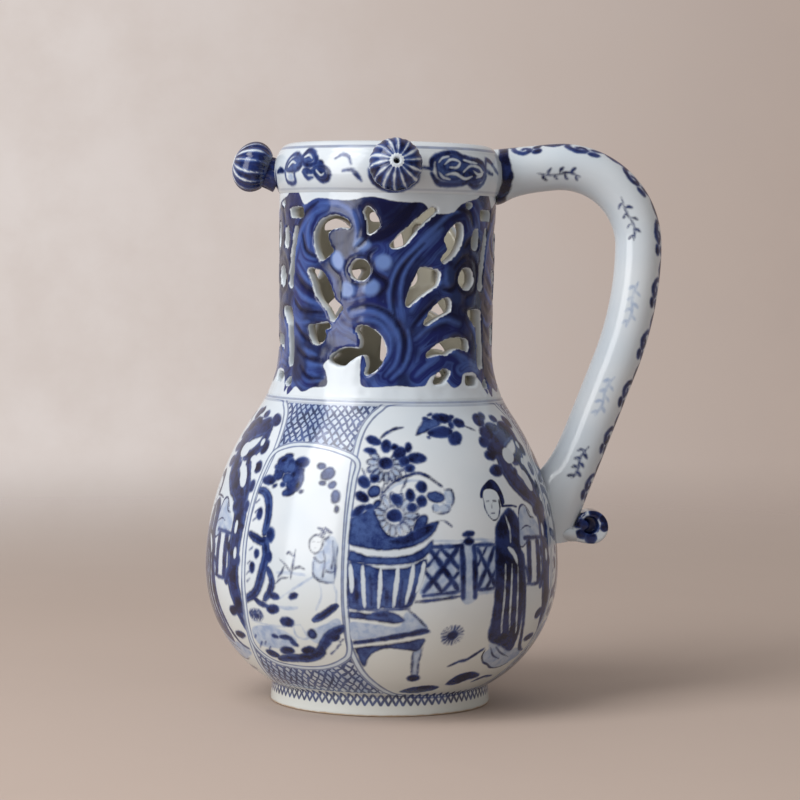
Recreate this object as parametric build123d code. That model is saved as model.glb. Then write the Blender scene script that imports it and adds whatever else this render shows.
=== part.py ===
from build123d import *
from math import acos, atan2, cos, degrees, hypot, radians, sin, sqrt, tan
import os

# Puzzle jug of porcelain: a body that is filled through a pierced neck, so that it can't be poured.
# The liquid is drawn through the hollow handle and the hollow rim to one of three spouts.
# All sizes are in millimetres. The jug stands on the plane z = 0, round the Z axis.
# The handle is towards +X and the front spout towards -Y.

# Body and foot
foot_radius = 42.5
foot_top_radius = 42.0
foot_height = 7.5
foot_inner_radius = 36.2
foot_recess = 5.0
foot_edge = 0.8
floor_height = 11.0
belly_radius = 68.3
belly_height = 52.0
shoulder_arc = 104.0
neck_base_arc = 44.0
body_wall = 5.0

# Neck
neck_radius = 41.2
neck_top_radius = 41.8
neck_base_rise = 66.5
neck_length = 77.0
repeats = 3

# Hollow rim
rim_radius = 44.2
rim_foot_radius = 41.7
rim_seam_radius = 42.4
rim_inner_radius = 31.0
trough_height = 15.5
trough_bulge_height = 10.5
cover_height = 4.0
rim_wall = 3.0
rim_floor = 3.5

# Spouts
spout_across = 18.6
spout_along = 15.2
spout_reach = 7.9
spout_rise = 10.2
spout_stem = 13.4
spout_stem_base = 16.4
spout_stem_start = 4.2
spout_stem_hollow = 0.5
spout_bore = 2.2
spout_lip = 4.6
spout_directions = {"front": -90.0, "left": 180.0, "rear": 90.0}
spout_tilts = {"front": 9.0, "left": 19.0, "rear": 12.0}

# Hollow handle
handle_diameter = 18.0
handle_bore = 9.0
handle_slope = 6.6
handle_bend_reach = 19.6
handle_bend_rise = 12.2
handle_bend_arc = 30.5
handle_back_arc = 130.0
handle_foot_rise = 13.0
handle_foot_depth = 4.0
handle_floor = 4.5
body_hole = 8.0
body_hole_rise = 24.0
vent_hole = 2.5
vent_reach = 3.2

# Scroll under the handle
scroll_reach = 12.8
scroll_radius = 6.6
scroll_strip = 3.2
scroll_width = 12.0
scroll_edge = 1.0
scroll_eye_shift = 0.8
scroll_web = 3.0
scroll_core = 4.0
scroll_core_sink = 0.8

# Heights that follow from these
neck_base_height = belly_height + neck_base_rise
neck_top_height = neck_base_height + neck_length
rim_bulge_height = neck_top_height + trough_bulge_height
rim_seam_height = neck_top_height + trough_height
rim_top_height = rim_seam_height + cover_height
handle_foot_height = belly_height + handle_foot_rise


# Small helpers
def revolved(face):
    return revolve(face, Axis.Z, 360)


def section(*edges):
    return Plane.XZ * make_face(list(edges))


def half_band(low, high):
    reach = 2 * belly_radius
    return Plane.XZ * Pos(reach / 2, (low + high) / 2) * Rectangle(reach, high - low)


def arc_about(centre, start, end, radius):
    # Arc round a centre, on the side that is farther from the axis or nearer, as start and end give it.
    middle = ((start[0] + end[0]) / 2 - centre[0], (start[1] + end[1]) / 2 - centre[1])
    length = hypot(*middle)
    through = (centre[0] + middle[0] * radius / length, centre[1] + middle[1] * radius / length)
    return ThreePointArc(start, through, end)


# Wall of the body and neck, drawn as one half section
lower_rise = belly_height - foot_height
lower_run = belly_radius - foot_top_radius
lower_arc = (lower_rise**2 + lower_run**2) / (2 * lower_run)
lower_centre = (belly_radius - lower_arc, belly_height)
shoulder_centre = (belly_radius - shoulder_arc, belly_height)
neck_arc_run = neck_radius + neck_base_arc - shoulder_centre[0]
centre_distance = shoulder_arc + neck_base_arc
neck_arc_rise = sqrt(centre_distance**2 - neck_arc_run**2)
neck_centre = (neck_radius + neck_base_arc, belly_height + neck_arc_rise)
lean_run = neck_arc_run / centre_distance
lean_rise = neck_arc_rise / centre_distance


def shoulder_point(radius):
    return (shoulder_centre[0] + radius * lean_run, shoulder_centre[1] + radius * lean_rise)


def wall_edges(depth):
    # One side of the wall, at this depth below the outer face, from the lower bowl to the top of the neck.
    if depth == 0:
        bottom = (foot_top_radius, foot_height)
    else:
        reach = sqrt((lower_arc - depth) ** 2 - (belly_height - floor_height) ** 2)
        bottom = (lower_centre[0] + reach, floor_height)
    belly = (belly_radius - depth, belly_height)
    bend = shoulder_point(shoulder_arc - depth)
    neck = (neck_radius - depth, neck_centre[1])
    top = (neck_top_radius - depth, neck_top_height)
    return [
        arc_about(lower_centre, bottom, belly, lower_arc - depth),
        arc_about(shoulder_centre, belly, bend, shoulder_arc - depth),
        arc_about(neck_centre, bend, neck, neck_base_arc + depth),
        Line(neck, top),
    ], bottom, top


outer_edges, outer_bottom, outer_top = wall_edges(0)
inner_edges, inner_bottom, inner_top = wall_edges(body_wall)
foot_edges = Polyline(
    inner_bottom,
    (0, floor_height),
    (0, foot_recess),
    (foot_inner_radius, foot_recess),
    (foot_inner_radius + foot_edge, 0),
    (foot_radius - foot_edge, 0),
    (foot_radius, foot_edge),
    outer_bottom,
).edges()
wall_section = section(*outer_edges, Line(outer_top, inner_top), *inner_edges, *foot_edges)

# Hollow rim: a trough and the ring that covers it
rim_outer = ThreePointArc(
    (rim_foot_radius, neck_top_height),
    (rim_radius, rim_bulge_height),
    (rim_seam_radius, rim_seam_height),
)
channel_floor = neck_top_height + rim_floor
channel_outer = ThreePointArc(
    (rim_seam_radius - rim_wall, rim_seam_height),
    (rim_radius - rim_wall, rim_bulge_height),
    (rim_foot_radius - rim_wall, channel_floor),
)
trough_section = section(
    rim_outer,
    Line(rim_outer @ 1, channel_outer @ 0),
    channel_outer,
    Polyline(
        channel_outer @ 1,
        (rim_inner_radius + rim_wall, channel_floor),
        (rim_inner_radius + rim_wall, rim_seam_height),
        (rim_inner_radius, rim_seam_height),
        (rim_inner_radius, channel_floor),
        inner_top,
        rim_outer @ 0,
    ),
)
cover_arc = ThreePointArc(
    (rim_seam_radius, rim_seam_height),
    ((rim_seam_radius + rim_inner_radius) / 2, rim_top_height),
    (rim_inner_radius, rim_seam_height),
)
cover_section = section(cover_arc, Line(cover_arc @ 1, cover_arc @ 0))

# Filled outline of the whole pot, which shapes the seats of the handle, scroll and spouts
pot_section = section(
    *outer_edges,
    Line(outer_top, rim_outer @ 0),
    rim_outer,
    cover_arc,
    Polyline(cover_arc @ 1, (0, rim_seam_height), (0, 0), (foot_radius, 0), outer_bottom),
)
pot = revolved(pot_section)

# Handle along its centre line, in the plane y = 0
handle_start_x = rim_inner_radius + rim_wall
bend_x = rim_radius + handle_bend_reach
bend_height = neck_top_height + handle_bend_rise
start_height = bend_height - (bend_x - handle_start_x) * tan(radians(handle_slope))
top_line = Line((handle_start_x, start_height), (bend_x, bend_height))
top_bend = JernArc(top_line @ 1, top_line % 1, handle_bend_arc, -(90 + handle_slope))

# The back turns just far enough for its straight end to run into the handle's foot, inside the wall
back_start = top_bend @ 1
foot_x = belly_radius - handle_foot_depth
foot_run = foot_x - (back_start.X - handle_back_arc)
foot_drop = back_start.Y - handle_foot_height
back_turn = degrees(atan2(foot_drop, foot_run) - acos(handle_back_arc / hypot(foot_run, foot_drop)))
back = JernArc(back_start, top_bend % 1, handle_back_arc, -back_turn)
tail_direction = back % 1
tail = Line(back @ 1, Vector(foot_x, handle_foot_height) + tail_direction * handle_diameter)
handle_path = Plane.XZ * Wire([top_line, top_bend, back, tail])


def tube(diameter, bottom):
    start = Plane(origin=handle_path @ 0, z_dir=handle_path % 0)
    whole = sweep(start * Circle(diameter / 2), path=handle_path)
    return split(whole, bisect_by=Plane.XY.offset(bottom), keep=Keep.TOP)


handle_outer = tube(handle_diameter, handle_foot_height)
handle_inner = tube(handle_bore, handle_foot_height + handle_floor)
vent_height = bend_height - handle_diameter / 2
vent = Pos(bend_x + vent_reach, 0, vent_height) * Cylinder(vent_hole / 2, handle_diameter)
handle = handle_outer - pot - handle_inner - vent
handle_near_half = split(handle, bisect_by=Plane.XZ, keep=Keep.TOP)
handle_far_half = split(handle, bisect_by=Plane.XZ, keep=Keep.BOTTOM)


# Scroll: a strip under the foot of the handle that rolls up at its end round a blind eye on each side
def roll(radius, width):
    disc = extrude(Plane.XZ * Circle(radius), width / 2, both=True)
    return fillet(disc.edges().filter_by(GeomType.CIRCLE), scroll_edge)


scroll_centre_x = belly_radius + scroll_reach
scroll_centre_height = handle_foot_height - scroll_strip + scroll_radius
eye_x = scroll_centre_x - scroll_eye_shift
eye_height = scroll_centre_height + scroll_eye_shift
eye_radius = scroll_radius - scroll_strip
eye_depth = (scroll_width - scroll_web) / 2
core_drop = eye_radius - scroll_core / 2 + scroll_core_sink
tongue_length = scroll_centre_x - belly_radius + body_wall
tongue_height = scroll_centre_height - scroll_radius + scroll_strip / 2
tongue = Box(tongue_length, scroll_width, scroll_strip)
tongue = fillet(tongue.edges().filter_by(Axis.X), scroll_edge)
scroll = Pos(scroll_centre_x, 0, scroll_centre_height) * roll(scroll_radius, scroll_width)
scroll += Pos(scroll_centre_x - tongue_length / 2, 0, tongue_height) * tongue
for side in (-1, 1):
    eye_place = Pos(eye_x, side * (scroll_width - eye_depth) / 2, eye_height) * Rot(90, 0, 0)
    scroll -= eye_place * Cylinder(eye_radius, eye_depth)
scroll += Pos(eye_x - core_drop, 0, eye_height) * roll(scroll_core / 2, scroll_width)
handle_scroll = scroll - pot - handle_outer

# Spouts, each drawn along its own X axis with the middle of the bun at the origin
spout_centre_radius = rim_radius + spout_reach
spout_centre_height = neck_top_height + spout_rise


def spout_shape():
    across = spout_across / 2
    along = spout_along / 2
    bun = Ellipse(along, across) & (Pos(0, across) * Rectangle(2 * along, 2 * across))
    tip = along * sqrt(1 - (spout_lip / spout_across) ** 2)
    bun -= Pos(tip + along, across) * Rectangle(2 * along, 2 * across)
    seat = -(spout_reach + rim_wall)
    base = (seat, spout_stem_base / 2)
    root = (-spout_stem_start, spout_stem / 2)
    middle = ((base[0] + root[0]) / 2, (base[1] + root[1]) / 2 - spout_stem_hollow)
    stem_side = ThreePointArc(base, middle, root)
    axis_side = Polyline(root, (root[0], 0), (seat, 0), base)
    stem = make_face([stem_side, *axis_side.edges()])
    profile = Plane.XZ * (bun + stem)
    solid = revolve(profile, Axis.X, 360)
    return solid - spout_bore_shape()


def spout_bore_shape():
    return Rot(0, 90, 0) * Cylinder(spout_bore / 2, 4 * spout_along)


def spout_place(direction, tilt):
    return Rot(0, 0, direction) * Pos(spout_centre_radius, 0, spout_centre_height) * Rot(0, -tilt, 0)


spouts = {}
spout_holes = []
for name, direction in spout_directions.items():
    place = spout_place(direction, spout_tilts[name])
    spouts[name] = place * spout_shape() - pot
    reach_in = spout_centre_radius - rim_inner_radius - rim_wall
    hole = Rot(0, 90, 0) * Cylinder(spout_bore / 2, reach_in)
    spout_holes.append(place * Pos(-reach_in / 2, 0, 0) * hole)

# Pieces of the pot, parted at the luted seams
body_hole_place = Pos(belly_radius, 0, belly_height + body_hole_rise) * Rot(0, 90, 0)
body_hole_shape = body_hole_place * Cylinder(body_hole / 2, 6 * body_wall)
lower_body = revolved(wall_section & half_band(0, belly_height))
upper_body = revolved(wall_section & half_band(belly_height, neck_base_height)) - body_hole_shape
neck = revolved(wall_section & half_band(neck_base_height, neck_top_height))
rim_trough = revolved(trough_section) - handle_inner - spout_holes
rim_cover = revolved(cover_section)

# Openings of the neck, drawn on a flat strip of this radius and length that is then wrapped round the neck.
# Each outline gives its corners as (along the wall, up from the neck's base, bulge to the next corner).
# Lengths along the wall start from the front and run towards the handle. A bulge is out from the opening.
strip_radius = 41.2
strip_length = 77.0
openings = {
    "curl": [
        (-28.2, 51.1, 0), (-22.3, 55.3, -1.0), (-25.4, 62.1, -1.4), (-16.2, 63.1, 0.8),
        (-17.5, 66.8, 4.6), (-31.8, 60.0, 0.8),
    ],
    "jagged slit": [
        (-22.6, 28.3, -0.5), (-18.3, 34.1, 0), (-22.4, 37.3, 0.8), (-27.9, 47.7, 0),
        (-36.0, 49.1, -0.5), (-31.0, 39.5, 0.4), (-26.4, 34.1, 0),
    ],
    "small comma": [
        (-31.5, 20.1, 1.4), (-25.8, 23.8, 0), (-26.9, 25.9, 0), (-23.4, 26.7, 0),
        (-25.2, 28.7, -0.4), (-34.6, 27.7, 0.8),
    ],
    "great comma": [
        (-10.4, 8.7, 8.2), (-11.2, 27.8, 0.4), (-14.0, 25.9, -1.5), (-12.3, 18.7, 2.2),
        (-24.4, 14.7, 1.0), (-17.0, 12.7, -0.6), (-10.4, 17.1, -1.2),
    ],
    "bent slit": [
        (-9.9, 60.9, 0.4), (-4.8, 64.7, 1.2), (-10.2, 72.3, 0), (-11.0, 69.7, -0.8),
    ],
    "long slit": [
        (-2.2, 56.4, 0.5), (5.0, 57.9, -0.8), (17.6, 70.7, 0.8), (14.2, 71.9, 0.6),
    ],
    "keyhole": [
        (20.2, 51.1, 1.0), (28.0, 58.3, 0.6), (28.8, 64.9, 0.9), (25.6, 66.1, 0.5),
        (20.1, 60.1, 0), (22.2, 56.5, 0), (19.0, 52.9, 0.4),
    ],
    "upper leaf": [
        (5.0, 33.3, -0.6), (17.7, 42.9, 0.3), (18.6, 48.1, 0.4), (10.8, 49.7, 1.0),
    ],
    "lower leaf": [
        (11.6, 26.5, -0.5), (23.1, 33.0, 1.2), (22.2, 38.5, 0.5), (16.7, 35.3, 0.6),
    ],
    "arch": [
        (11.5, 13.6, -1.6), (22.6, 16.9, -2.6), (33.9, 16.7, 0), (33.2, 22.5, 4.4),
    ],
    "low wedge": [
        (15.3, 5.7, 0), (20.0, 6.3, 0.2), (23.7, 9.9, 0.6), (20.8, 11.9, 0.9),
    ],
    "low bar": [
        (29.8, 5.4, 0), (36.6, 5.4, 0), (37.8, 8.9, 0), (31.0, 9.1, 0),
    ],
    "high wedge": [
        (31.7, 71.3, 0), (36.0, 74.1, 0), (29.3, 74.3, 0),
    ],
    "short slit": [
        (34.0, 57.1, 0.2), (37.4, 56.1, 0.4), (38.2, 64.3, 0.2), (35.2, 63.9, 0.3),
    ],
    "hook": [
        (37.8, 26.3, 0.6), (38.4, 34.1, 0), (32.2, 33.7, 0), (33.6, 31.1, -0.4),
    ],
    "high bar": [
        (-46.5, 67.6, 0), (-38.3, 67.6, 0), (-37.6, 71.5, 0), (-47.3, 71.5, 0),
    ],
    "upper edge slit": [
        (-47.6, 41.5, 0.3), (-44.4, 41.5, -0.5), (-41.0, 64.1, 0.2), (-43.0, 64.7, 0.8),
    ],
    "lower edge slit": [
        (-46.6, 11.5, 0.2), (-43.2, 11.9, 0.3), (-45.0, 33.5, 0.3), (-48.0, 33.5, 0.2),
    ],
    "edge wedge": [
        (-46.6, 4.1, 0), (-41.6, 4.1, 0), (-42.8, 8.1, 0.3),
    ],
}
flower_holes = [(-12.2, 48.3), (31.4, 45.6)]
flower_hole = 8.0
along_scale = neck_radius / strip_radius
upward_scale = neck_length / strip_length
cut_start = 2 * body_wall
cut_depth = 4 * body_wall


def outline(corners, shift):
    edges = []
    for index, (x, z, bulge) in enumerate(corners):
        next_x, next_z, _ = corners[(index + 1) % len(corners)]
        start = ((x - shift) * along_scale, z * upward_scale)
        end = ((next_x - shift) * along_scale, next_z * upward_scale)
        if bulge == 0:
            edges.append(Line(start, end))
            continue
        run, rise = end[0] - start[0], end[1] - start[1]
        side = bulge * along_scale / hypot(run, rise)
        through = ((start[0] + end[0]) / 2 + side * rise, (start[1] + end[1]) / 2 - side * run)
        edges.append(ThreePointArc(start, through, end))
    return make_face(edges)


def wall_plane(distance, turn):
    # Plane that faces the neck's base from outside, at this distance along the strip from the front.
    angle = radians(turn) + distance / strip_radius
    outward = Vector(sin(angle), -cos(angle), 0)
    middle = outward * (neck_radius + cut_start) + Vector(0, 0, neck_base_height)
    return Plane(origin=middle, x_dir=(cos(angle), sin(angle), 0), z_dir=outward)


cutters = []
for turn in [360 / repeats * index for index in range(repeats)]:
    for corners in openings.values():
        middle = (min(c[0] for c in corners) + max(c[0] for c in corners)) / 2
        cutters.append(extrude(wall_plane(middle, turn) * outline(corners, middle), -cut_depth))
    for distance, height in flower_holes:
        hole = Pos(0, height * upward_scale) * Circle(flower_hole / 2)
        cutters.append(extrude(wall_plane(distance, turn) * hole, -cut_depth))
pierced_neck = neck - cutters

# Files, one for each luted piece
pieces = {
    "lower_body": lower_body,
    "upper_body": upper_body,
    "pierced_neck": pierced_neck,
    "rim_trough": rim_trough,
    "rim_cover": rim_cover,
    "front_spout": spouts["front"],
    "left_spout": spouts["left"],
    "rear_spout": spouts["rear"],
    "handle_near_half": handle_near_half,
    "handle_far_half": handle_far_half,
    "handle_scroll": handle_scroll,
}
os.makedirs("parts", exist_ok=True)
for name, shape in pieces.items():
    export_step(shape, f"parts/{name}.step")
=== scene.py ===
import math

import bmesh
import bpy
import numpy as np
from mathutils import Matrix, Vector
from mathutils.kdtree import KDTree


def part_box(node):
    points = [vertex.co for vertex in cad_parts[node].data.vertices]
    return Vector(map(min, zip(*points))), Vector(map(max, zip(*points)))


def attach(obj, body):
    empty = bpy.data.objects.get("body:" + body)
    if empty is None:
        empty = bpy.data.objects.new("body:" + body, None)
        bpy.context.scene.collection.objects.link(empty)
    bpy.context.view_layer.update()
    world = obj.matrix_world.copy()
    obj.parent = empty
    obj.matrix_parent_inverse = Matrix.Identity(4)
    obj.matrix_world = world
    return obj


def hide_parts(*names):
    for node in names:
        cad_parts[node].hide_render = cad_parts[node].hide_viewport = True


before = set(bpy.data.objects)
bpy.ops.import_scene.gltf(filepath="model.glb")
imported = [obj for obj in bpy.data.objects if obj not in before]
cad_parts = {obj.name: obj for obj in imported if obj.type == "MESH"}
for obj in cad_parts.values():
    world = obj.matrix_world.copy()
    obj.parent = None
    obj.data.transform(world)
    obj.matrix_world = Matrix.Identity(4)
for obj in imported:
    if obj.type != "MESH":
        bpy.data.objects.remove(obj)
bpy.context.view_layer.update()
print("frame loaded:", len(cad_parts), "nodes")

scene = bpy.context.scene
scene.view_settings.view_transform = "Standard"
mm = 0.001

# camera, worked out from the ellipses of the foot, neck line and rim
view = {
    "azimuth": -3.0,
    "distance": 1.015,
    "height": 0.168,
    "picture": 800,
    "sensor": 36.0,
    "pixelLens": 2622.0,
    "axisPixel": (384.5, 267.4),
    "roll": 0.95,
}


def addCamera():
    turn = math.radians(view["azimuth"])
    eye = Vector((math.sin(turn), -math.cos(turn), 0)) * view["distance"]
    eye.z = view["height"]
    middle = view["picture"] / 2
    column, row = view["axisPixel"]
    yaw = math.atan((middle - column) / view["pixelLens"])
    pitch = math.atan((middle - row) / view["pixelLens"])
    rotation = Matrix.Rotation(turn - yaw, 3, "Z") @ Matrix.Rotation(math.pi / 2 - pitch, 3, "X")
    rotation = rotation @ Matrix.Rotation(math.radians(view["roll"]), 3, "Z")
    data = bpy.data.cameras.new("camera")
    data.sensor_width = view["sensor"]
    data.lens = view["pixelLens"] / view["picture"] * view["sensor"]
    data.clip_start, data.clip_end = 0.05, 20
    camera = bpy.data.objects.new("camera", data)
    camera.matrix_world = Matrix.Translation(eye) @ rotation.to_4x4()
    scene.collection.objects.link(camera)
    scene.camera = camera


addCamera()
print("camera set")


# shader maths: a wrapped socket, and a board that adds nodes to a material or the world
class Value:
    def __init__(self, board, socket):
        self.board, self.socket = board, socket

    def __add__(self, other):
        return self.board.math("ADD", self, other)

    def __sub__(self, other):
        return self.board.math("SUBTRACT", self, other)

    def __rsub__(self, other):
        return self.board.math("SUBTRACT", other, self)

    def __mul__(self, other):
        return self.board.math("MULTIPLY", self, other)

    def __truediv__(self, other):
        return self.board.math("DIVIDE", self, other)

    def __rtruediv__(self, other):
        return self.board.math("DIVIDE", other, self)

    def __abs__(self):
        return self.board.math("ABSOLUTE", self)

    __radd__ = __add__
    __rmul__ = __mul__


class Board:
    def __init__(self, owner):
        owner.use_nodes = True
        self.owner, self.tree = owner, owner.node_tree

    def feed(self, socket, value):
        if isinstance(value, Value):
            self.tree.links.new(value.socket, socket)
        else:
            socket.default_value = value

    def node(self, kind, settings, sockets, output=0):
        made = self.tree.nodes.new(kind)
        for name, value in settings.items():
            setattr(made, name, value)
        for name, value in sockets.items():
            self.feed(made.inputs[name], value)
        return Value(self, made.outputs[output])

    def math(self, operation, *values):
        return self.node("ShaderNodeMath", {"operation": operation}, dict(enumerate(values)))

    def fade(self, value, full, none):
        # 1 where the value is at full or beyond, 0 at none or beyond
        sockets = {"Value": value, "From Min": none, "From Max": full}
        if none > full:
            sockets.update({"From Min": full, "From Max": none, "To Min": 1.0, "To Max": 0.0})
        return self.node("ShaderNodeMapRange", {"interpolation_type": "SMOOTHSTEP"}, sockets)

    def mix(self, factor, first, second):
        return self.node("ShaderNodeMix", {"data_type": "RGBA"}, {0: factor, 6: first, 7: second}, 2)

    def noise(self, place, scale, detail=2.0, rough=0.5):
        sockets = {"Vector": place, "Scale": scale, "Detail": detail, "Roughness": rough}
        return self.node("ShaderNodeTexNoise", {}, sockets)

    def layer(self, name):
        return self.node("ShaderNodeAttribute", {"attribute_name": name}, {}, "Fac")

    def place(self):
        return self.node("ShaderNodeTexCoord", {}, {}, "Object")

    def axes(self, place):
        split = self.tree.nodes.new("ShaderNodeSeparateXYZ")
        self.feed(split.inputs[0], place)
        return [Value(self, output) for output in split.outputs]

    def finish(self, colour, roughness, bump, depth):
        shader = self.tree.nodes["Principled BSDF"]
        sockets = {"Height": bump, "Strength": 1.0, "Distance": depth}
        self.feed(shader.inputs["Base Color"], colour)
        self.feed(shader.inputs["Roughness"], roughness)
        self.feed(shader.inputs["Normal"], self.node("ShaderNodeBump", {}, sockets))
        return self.owner


def newBoard(name):
    return Board(bpy.data.materials.new(name))


def tint(red, green, blue):
    # linear colour of an 8-bit screen colour
    parts = [part / 255 for part in (red, green, blue)]
    return tuple(p / 12.92 if p <= 0.04045 else ((p + 0.055) / 1.055) ** 2.4 for p in parts) + (1.0,)


# sizes of the pot in millimetres: the solids' own, the softened foot and the spacing of the mesh
pot = {
    "footRadius": 42.5, "footTopRadius": 42.0, "footHeight": 7.5, "footInner": 36.2,
    "footRecess": 5.0, "footEdge": 0.8, "footSoft": 0.4, "footTip": 0.25,
    "floorHeight": 11.0, "floorRound": 2.0,
    "bellyRadius": 68.3, "bellyHeight": 52.0, "shoulderArc": 104.0, "neckArc": 44.0, "wall": 5.0,
    "neckRadius": 41.2, "neckTopRadius": 41.8, "neckBase": 118.5, "neckTop": 195.5,
    "rimRadius": 44.2, "rimFoot": 41.7, "rimSeam": 42.4, "rimInner": 31.0,
    "bulgeHeight": 206.0, "seamHeight": 211.0, "topHeight": 215.0, "rimWall": 3.0, "rimFloor": 3.5,
    "columns": 660, "row": 0.62, "innerRow": 4.0,
}
lowerRise = pot["bellyHeight"] - pot["footHeight"]
lowerRun = pot["bellyRadius"] - pot["footTopRadius"]
lowerArc = (lowerRise**2 + lowerRun**2) / (2 * lowerRun)
lowerCentre = pot["bellyRadius"] - lowerArc
shoulderCentre = pot["bellyRadius"] - pot["shoulderArc"]
neckCentre = pot["neckRadius"] + pot["neckArc"]
neckBend = pot["bellyHeight"] + math.sqrt(
    (pot["shoulderArc"] + pot["neckArc"]) ** 2 - (neckCentre - shoulderCentre) ** 2
)
bendShare = pot["shoulderArc"] / (pot["shoulderArc"] + pot["neckArc"])
bendStart = pot["bellyHeight"] + (neckBend - pot["bellyHeight"]) * bendShare


def bulgeArc(first, second, third):
    # circle through three points of a half section
    (ax, ay), (bx, by), (cx, cy) = first, second, third
    scale = 2 * (ax * (by - cy) + bx * (cy - ay) + cx * (ay - by))
    squares = [x * x + y * y for x, y in (first, second, third)]
    x = (squares[0] * (by - cy) + squares[1] * (cy - ay) + squares[2] * (ay - by)) / scale
    y = (squares[0] * (cx - bx) + squares[1] * (ax - cx) + squares[2] * (bx - ax)) / scale
    return x, y, math.hypot(ax - x, ay - y)


rimArc = bulgeArc(
    (pot["rimFoot"], pot["neckTop"]),
    (pot["rimRadius"], pot["bulgeHeight"]),
    (pot["rimSeam"], pot["seamHeight"]),
)


def wallRadius(height):
    # outer radius of the pot at these heights
    z = np.asarray(height, float)

    def across(radius, rise):
        return np.sqrt(np.maximum(radius**2 - rise**2, 0))

    foot = np.interp(z, [0, pot["footHeight"]], [pot["footRadius"], pot["footTopRadius"]])
    bowl = lowerCentre + across(lowerArc, z - pot["bellyHeight"])
    shoulder = shoulderCentre + across(pot["shoulderArc"], z - pot["bellyHeight"])
    bend = neckCentre - across(pot["neckArc"], z - neckBend)
    neck = np.interp(z, [neckBend, pot["neckTop"]], [pot["neckRadius"], pot["neckTopRadius"]])
    rim = rimArc[0] + across(rimArc[2], z - rimArc[1])
    tops = [pot["footHeight"], pot["bellyHeight"], bendStart, neckBend, pot["neckTop"]]
    return np.select([z < top for top in tops], [foot, bowl, shoulder, bend, neck], rim)


heightTable = np.linspace(0, pot["seamHeight"], 4000)
radiusTable = wallRadius(heightTable)
riseTable = np.concatenate([[0], np.cumsum(np.hypot(np.diff(heightTable), np.diff(radiusTable)))])


def wallRise(height):
    # length up the wall from the foot
    return np.interp(height, heightTable, riseTable)


def evenHeights(low, high, step):
    # heights between two ends at even steps up the wall
    first, last = wallRise(low), wallRise(high)
    rises = np.linspace(first, last, max(2, round((last - first) / step) + 1))
    return np.interp(rises, riseTable, heightTable)


# painting: strokes are laid on a skin, the unrolled points of a piece, as fields of distance in millimetres
paint = {
    "far": 2.6, "layers": ("pale", "mid", "dark", "bare", "ink"), "smooth": 6, "taper": 0.6, "bulge": 0.6,
    "tuftBrush": (0.75, 0.2),
    "petal": {"squash": 0.9, "belly": 0.8, "root": 0.3, "tip": 0.45, "line": 0.9, "taper": 0.3},
}


def smoothLine(points, closed=False):
    # even curve through a few points
    points = np.asarray(points, float)
    if len(points) < 3:
        return points
    steps = np.arange(paint["smooth"]) / paint["smooth"]
    if closed:
        around = np.concatenate([points[-1:], points, points[:2]])
    else:
        around = np.concatenate([2 * points[:1] - points[1:2], points, 2 * points[-1:] - points[-2:-1]])
    rows = []
    for a, b, c, d in zip(around, around[1:], around[2:], around[3:]):
        t = steps[:, None]
        square, cube = 2 * a - 5 * b + 4 * c - d, 3 * b - a - 3 * c + d
        rows.append(0.5 * (2 * b + (c - a) * t + square * t**2 + cube * t**3))
    if not closed:
        rows.append(points[-1:])
    return np.concatenate(rows)


def segmentDistance(px, py, a, b):
    # distance to a segment, and the share along it
    ab = b - a
    share = np.clip(((px - a[0]) * ab[0] + (py - a[1]) * ab[1]) / max(ab @ ab, 1e-9), 0, 1)
    return np.hypot(px - a[0] - share * ab[0], py - a[1] - share * ab[1]), share


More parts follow.
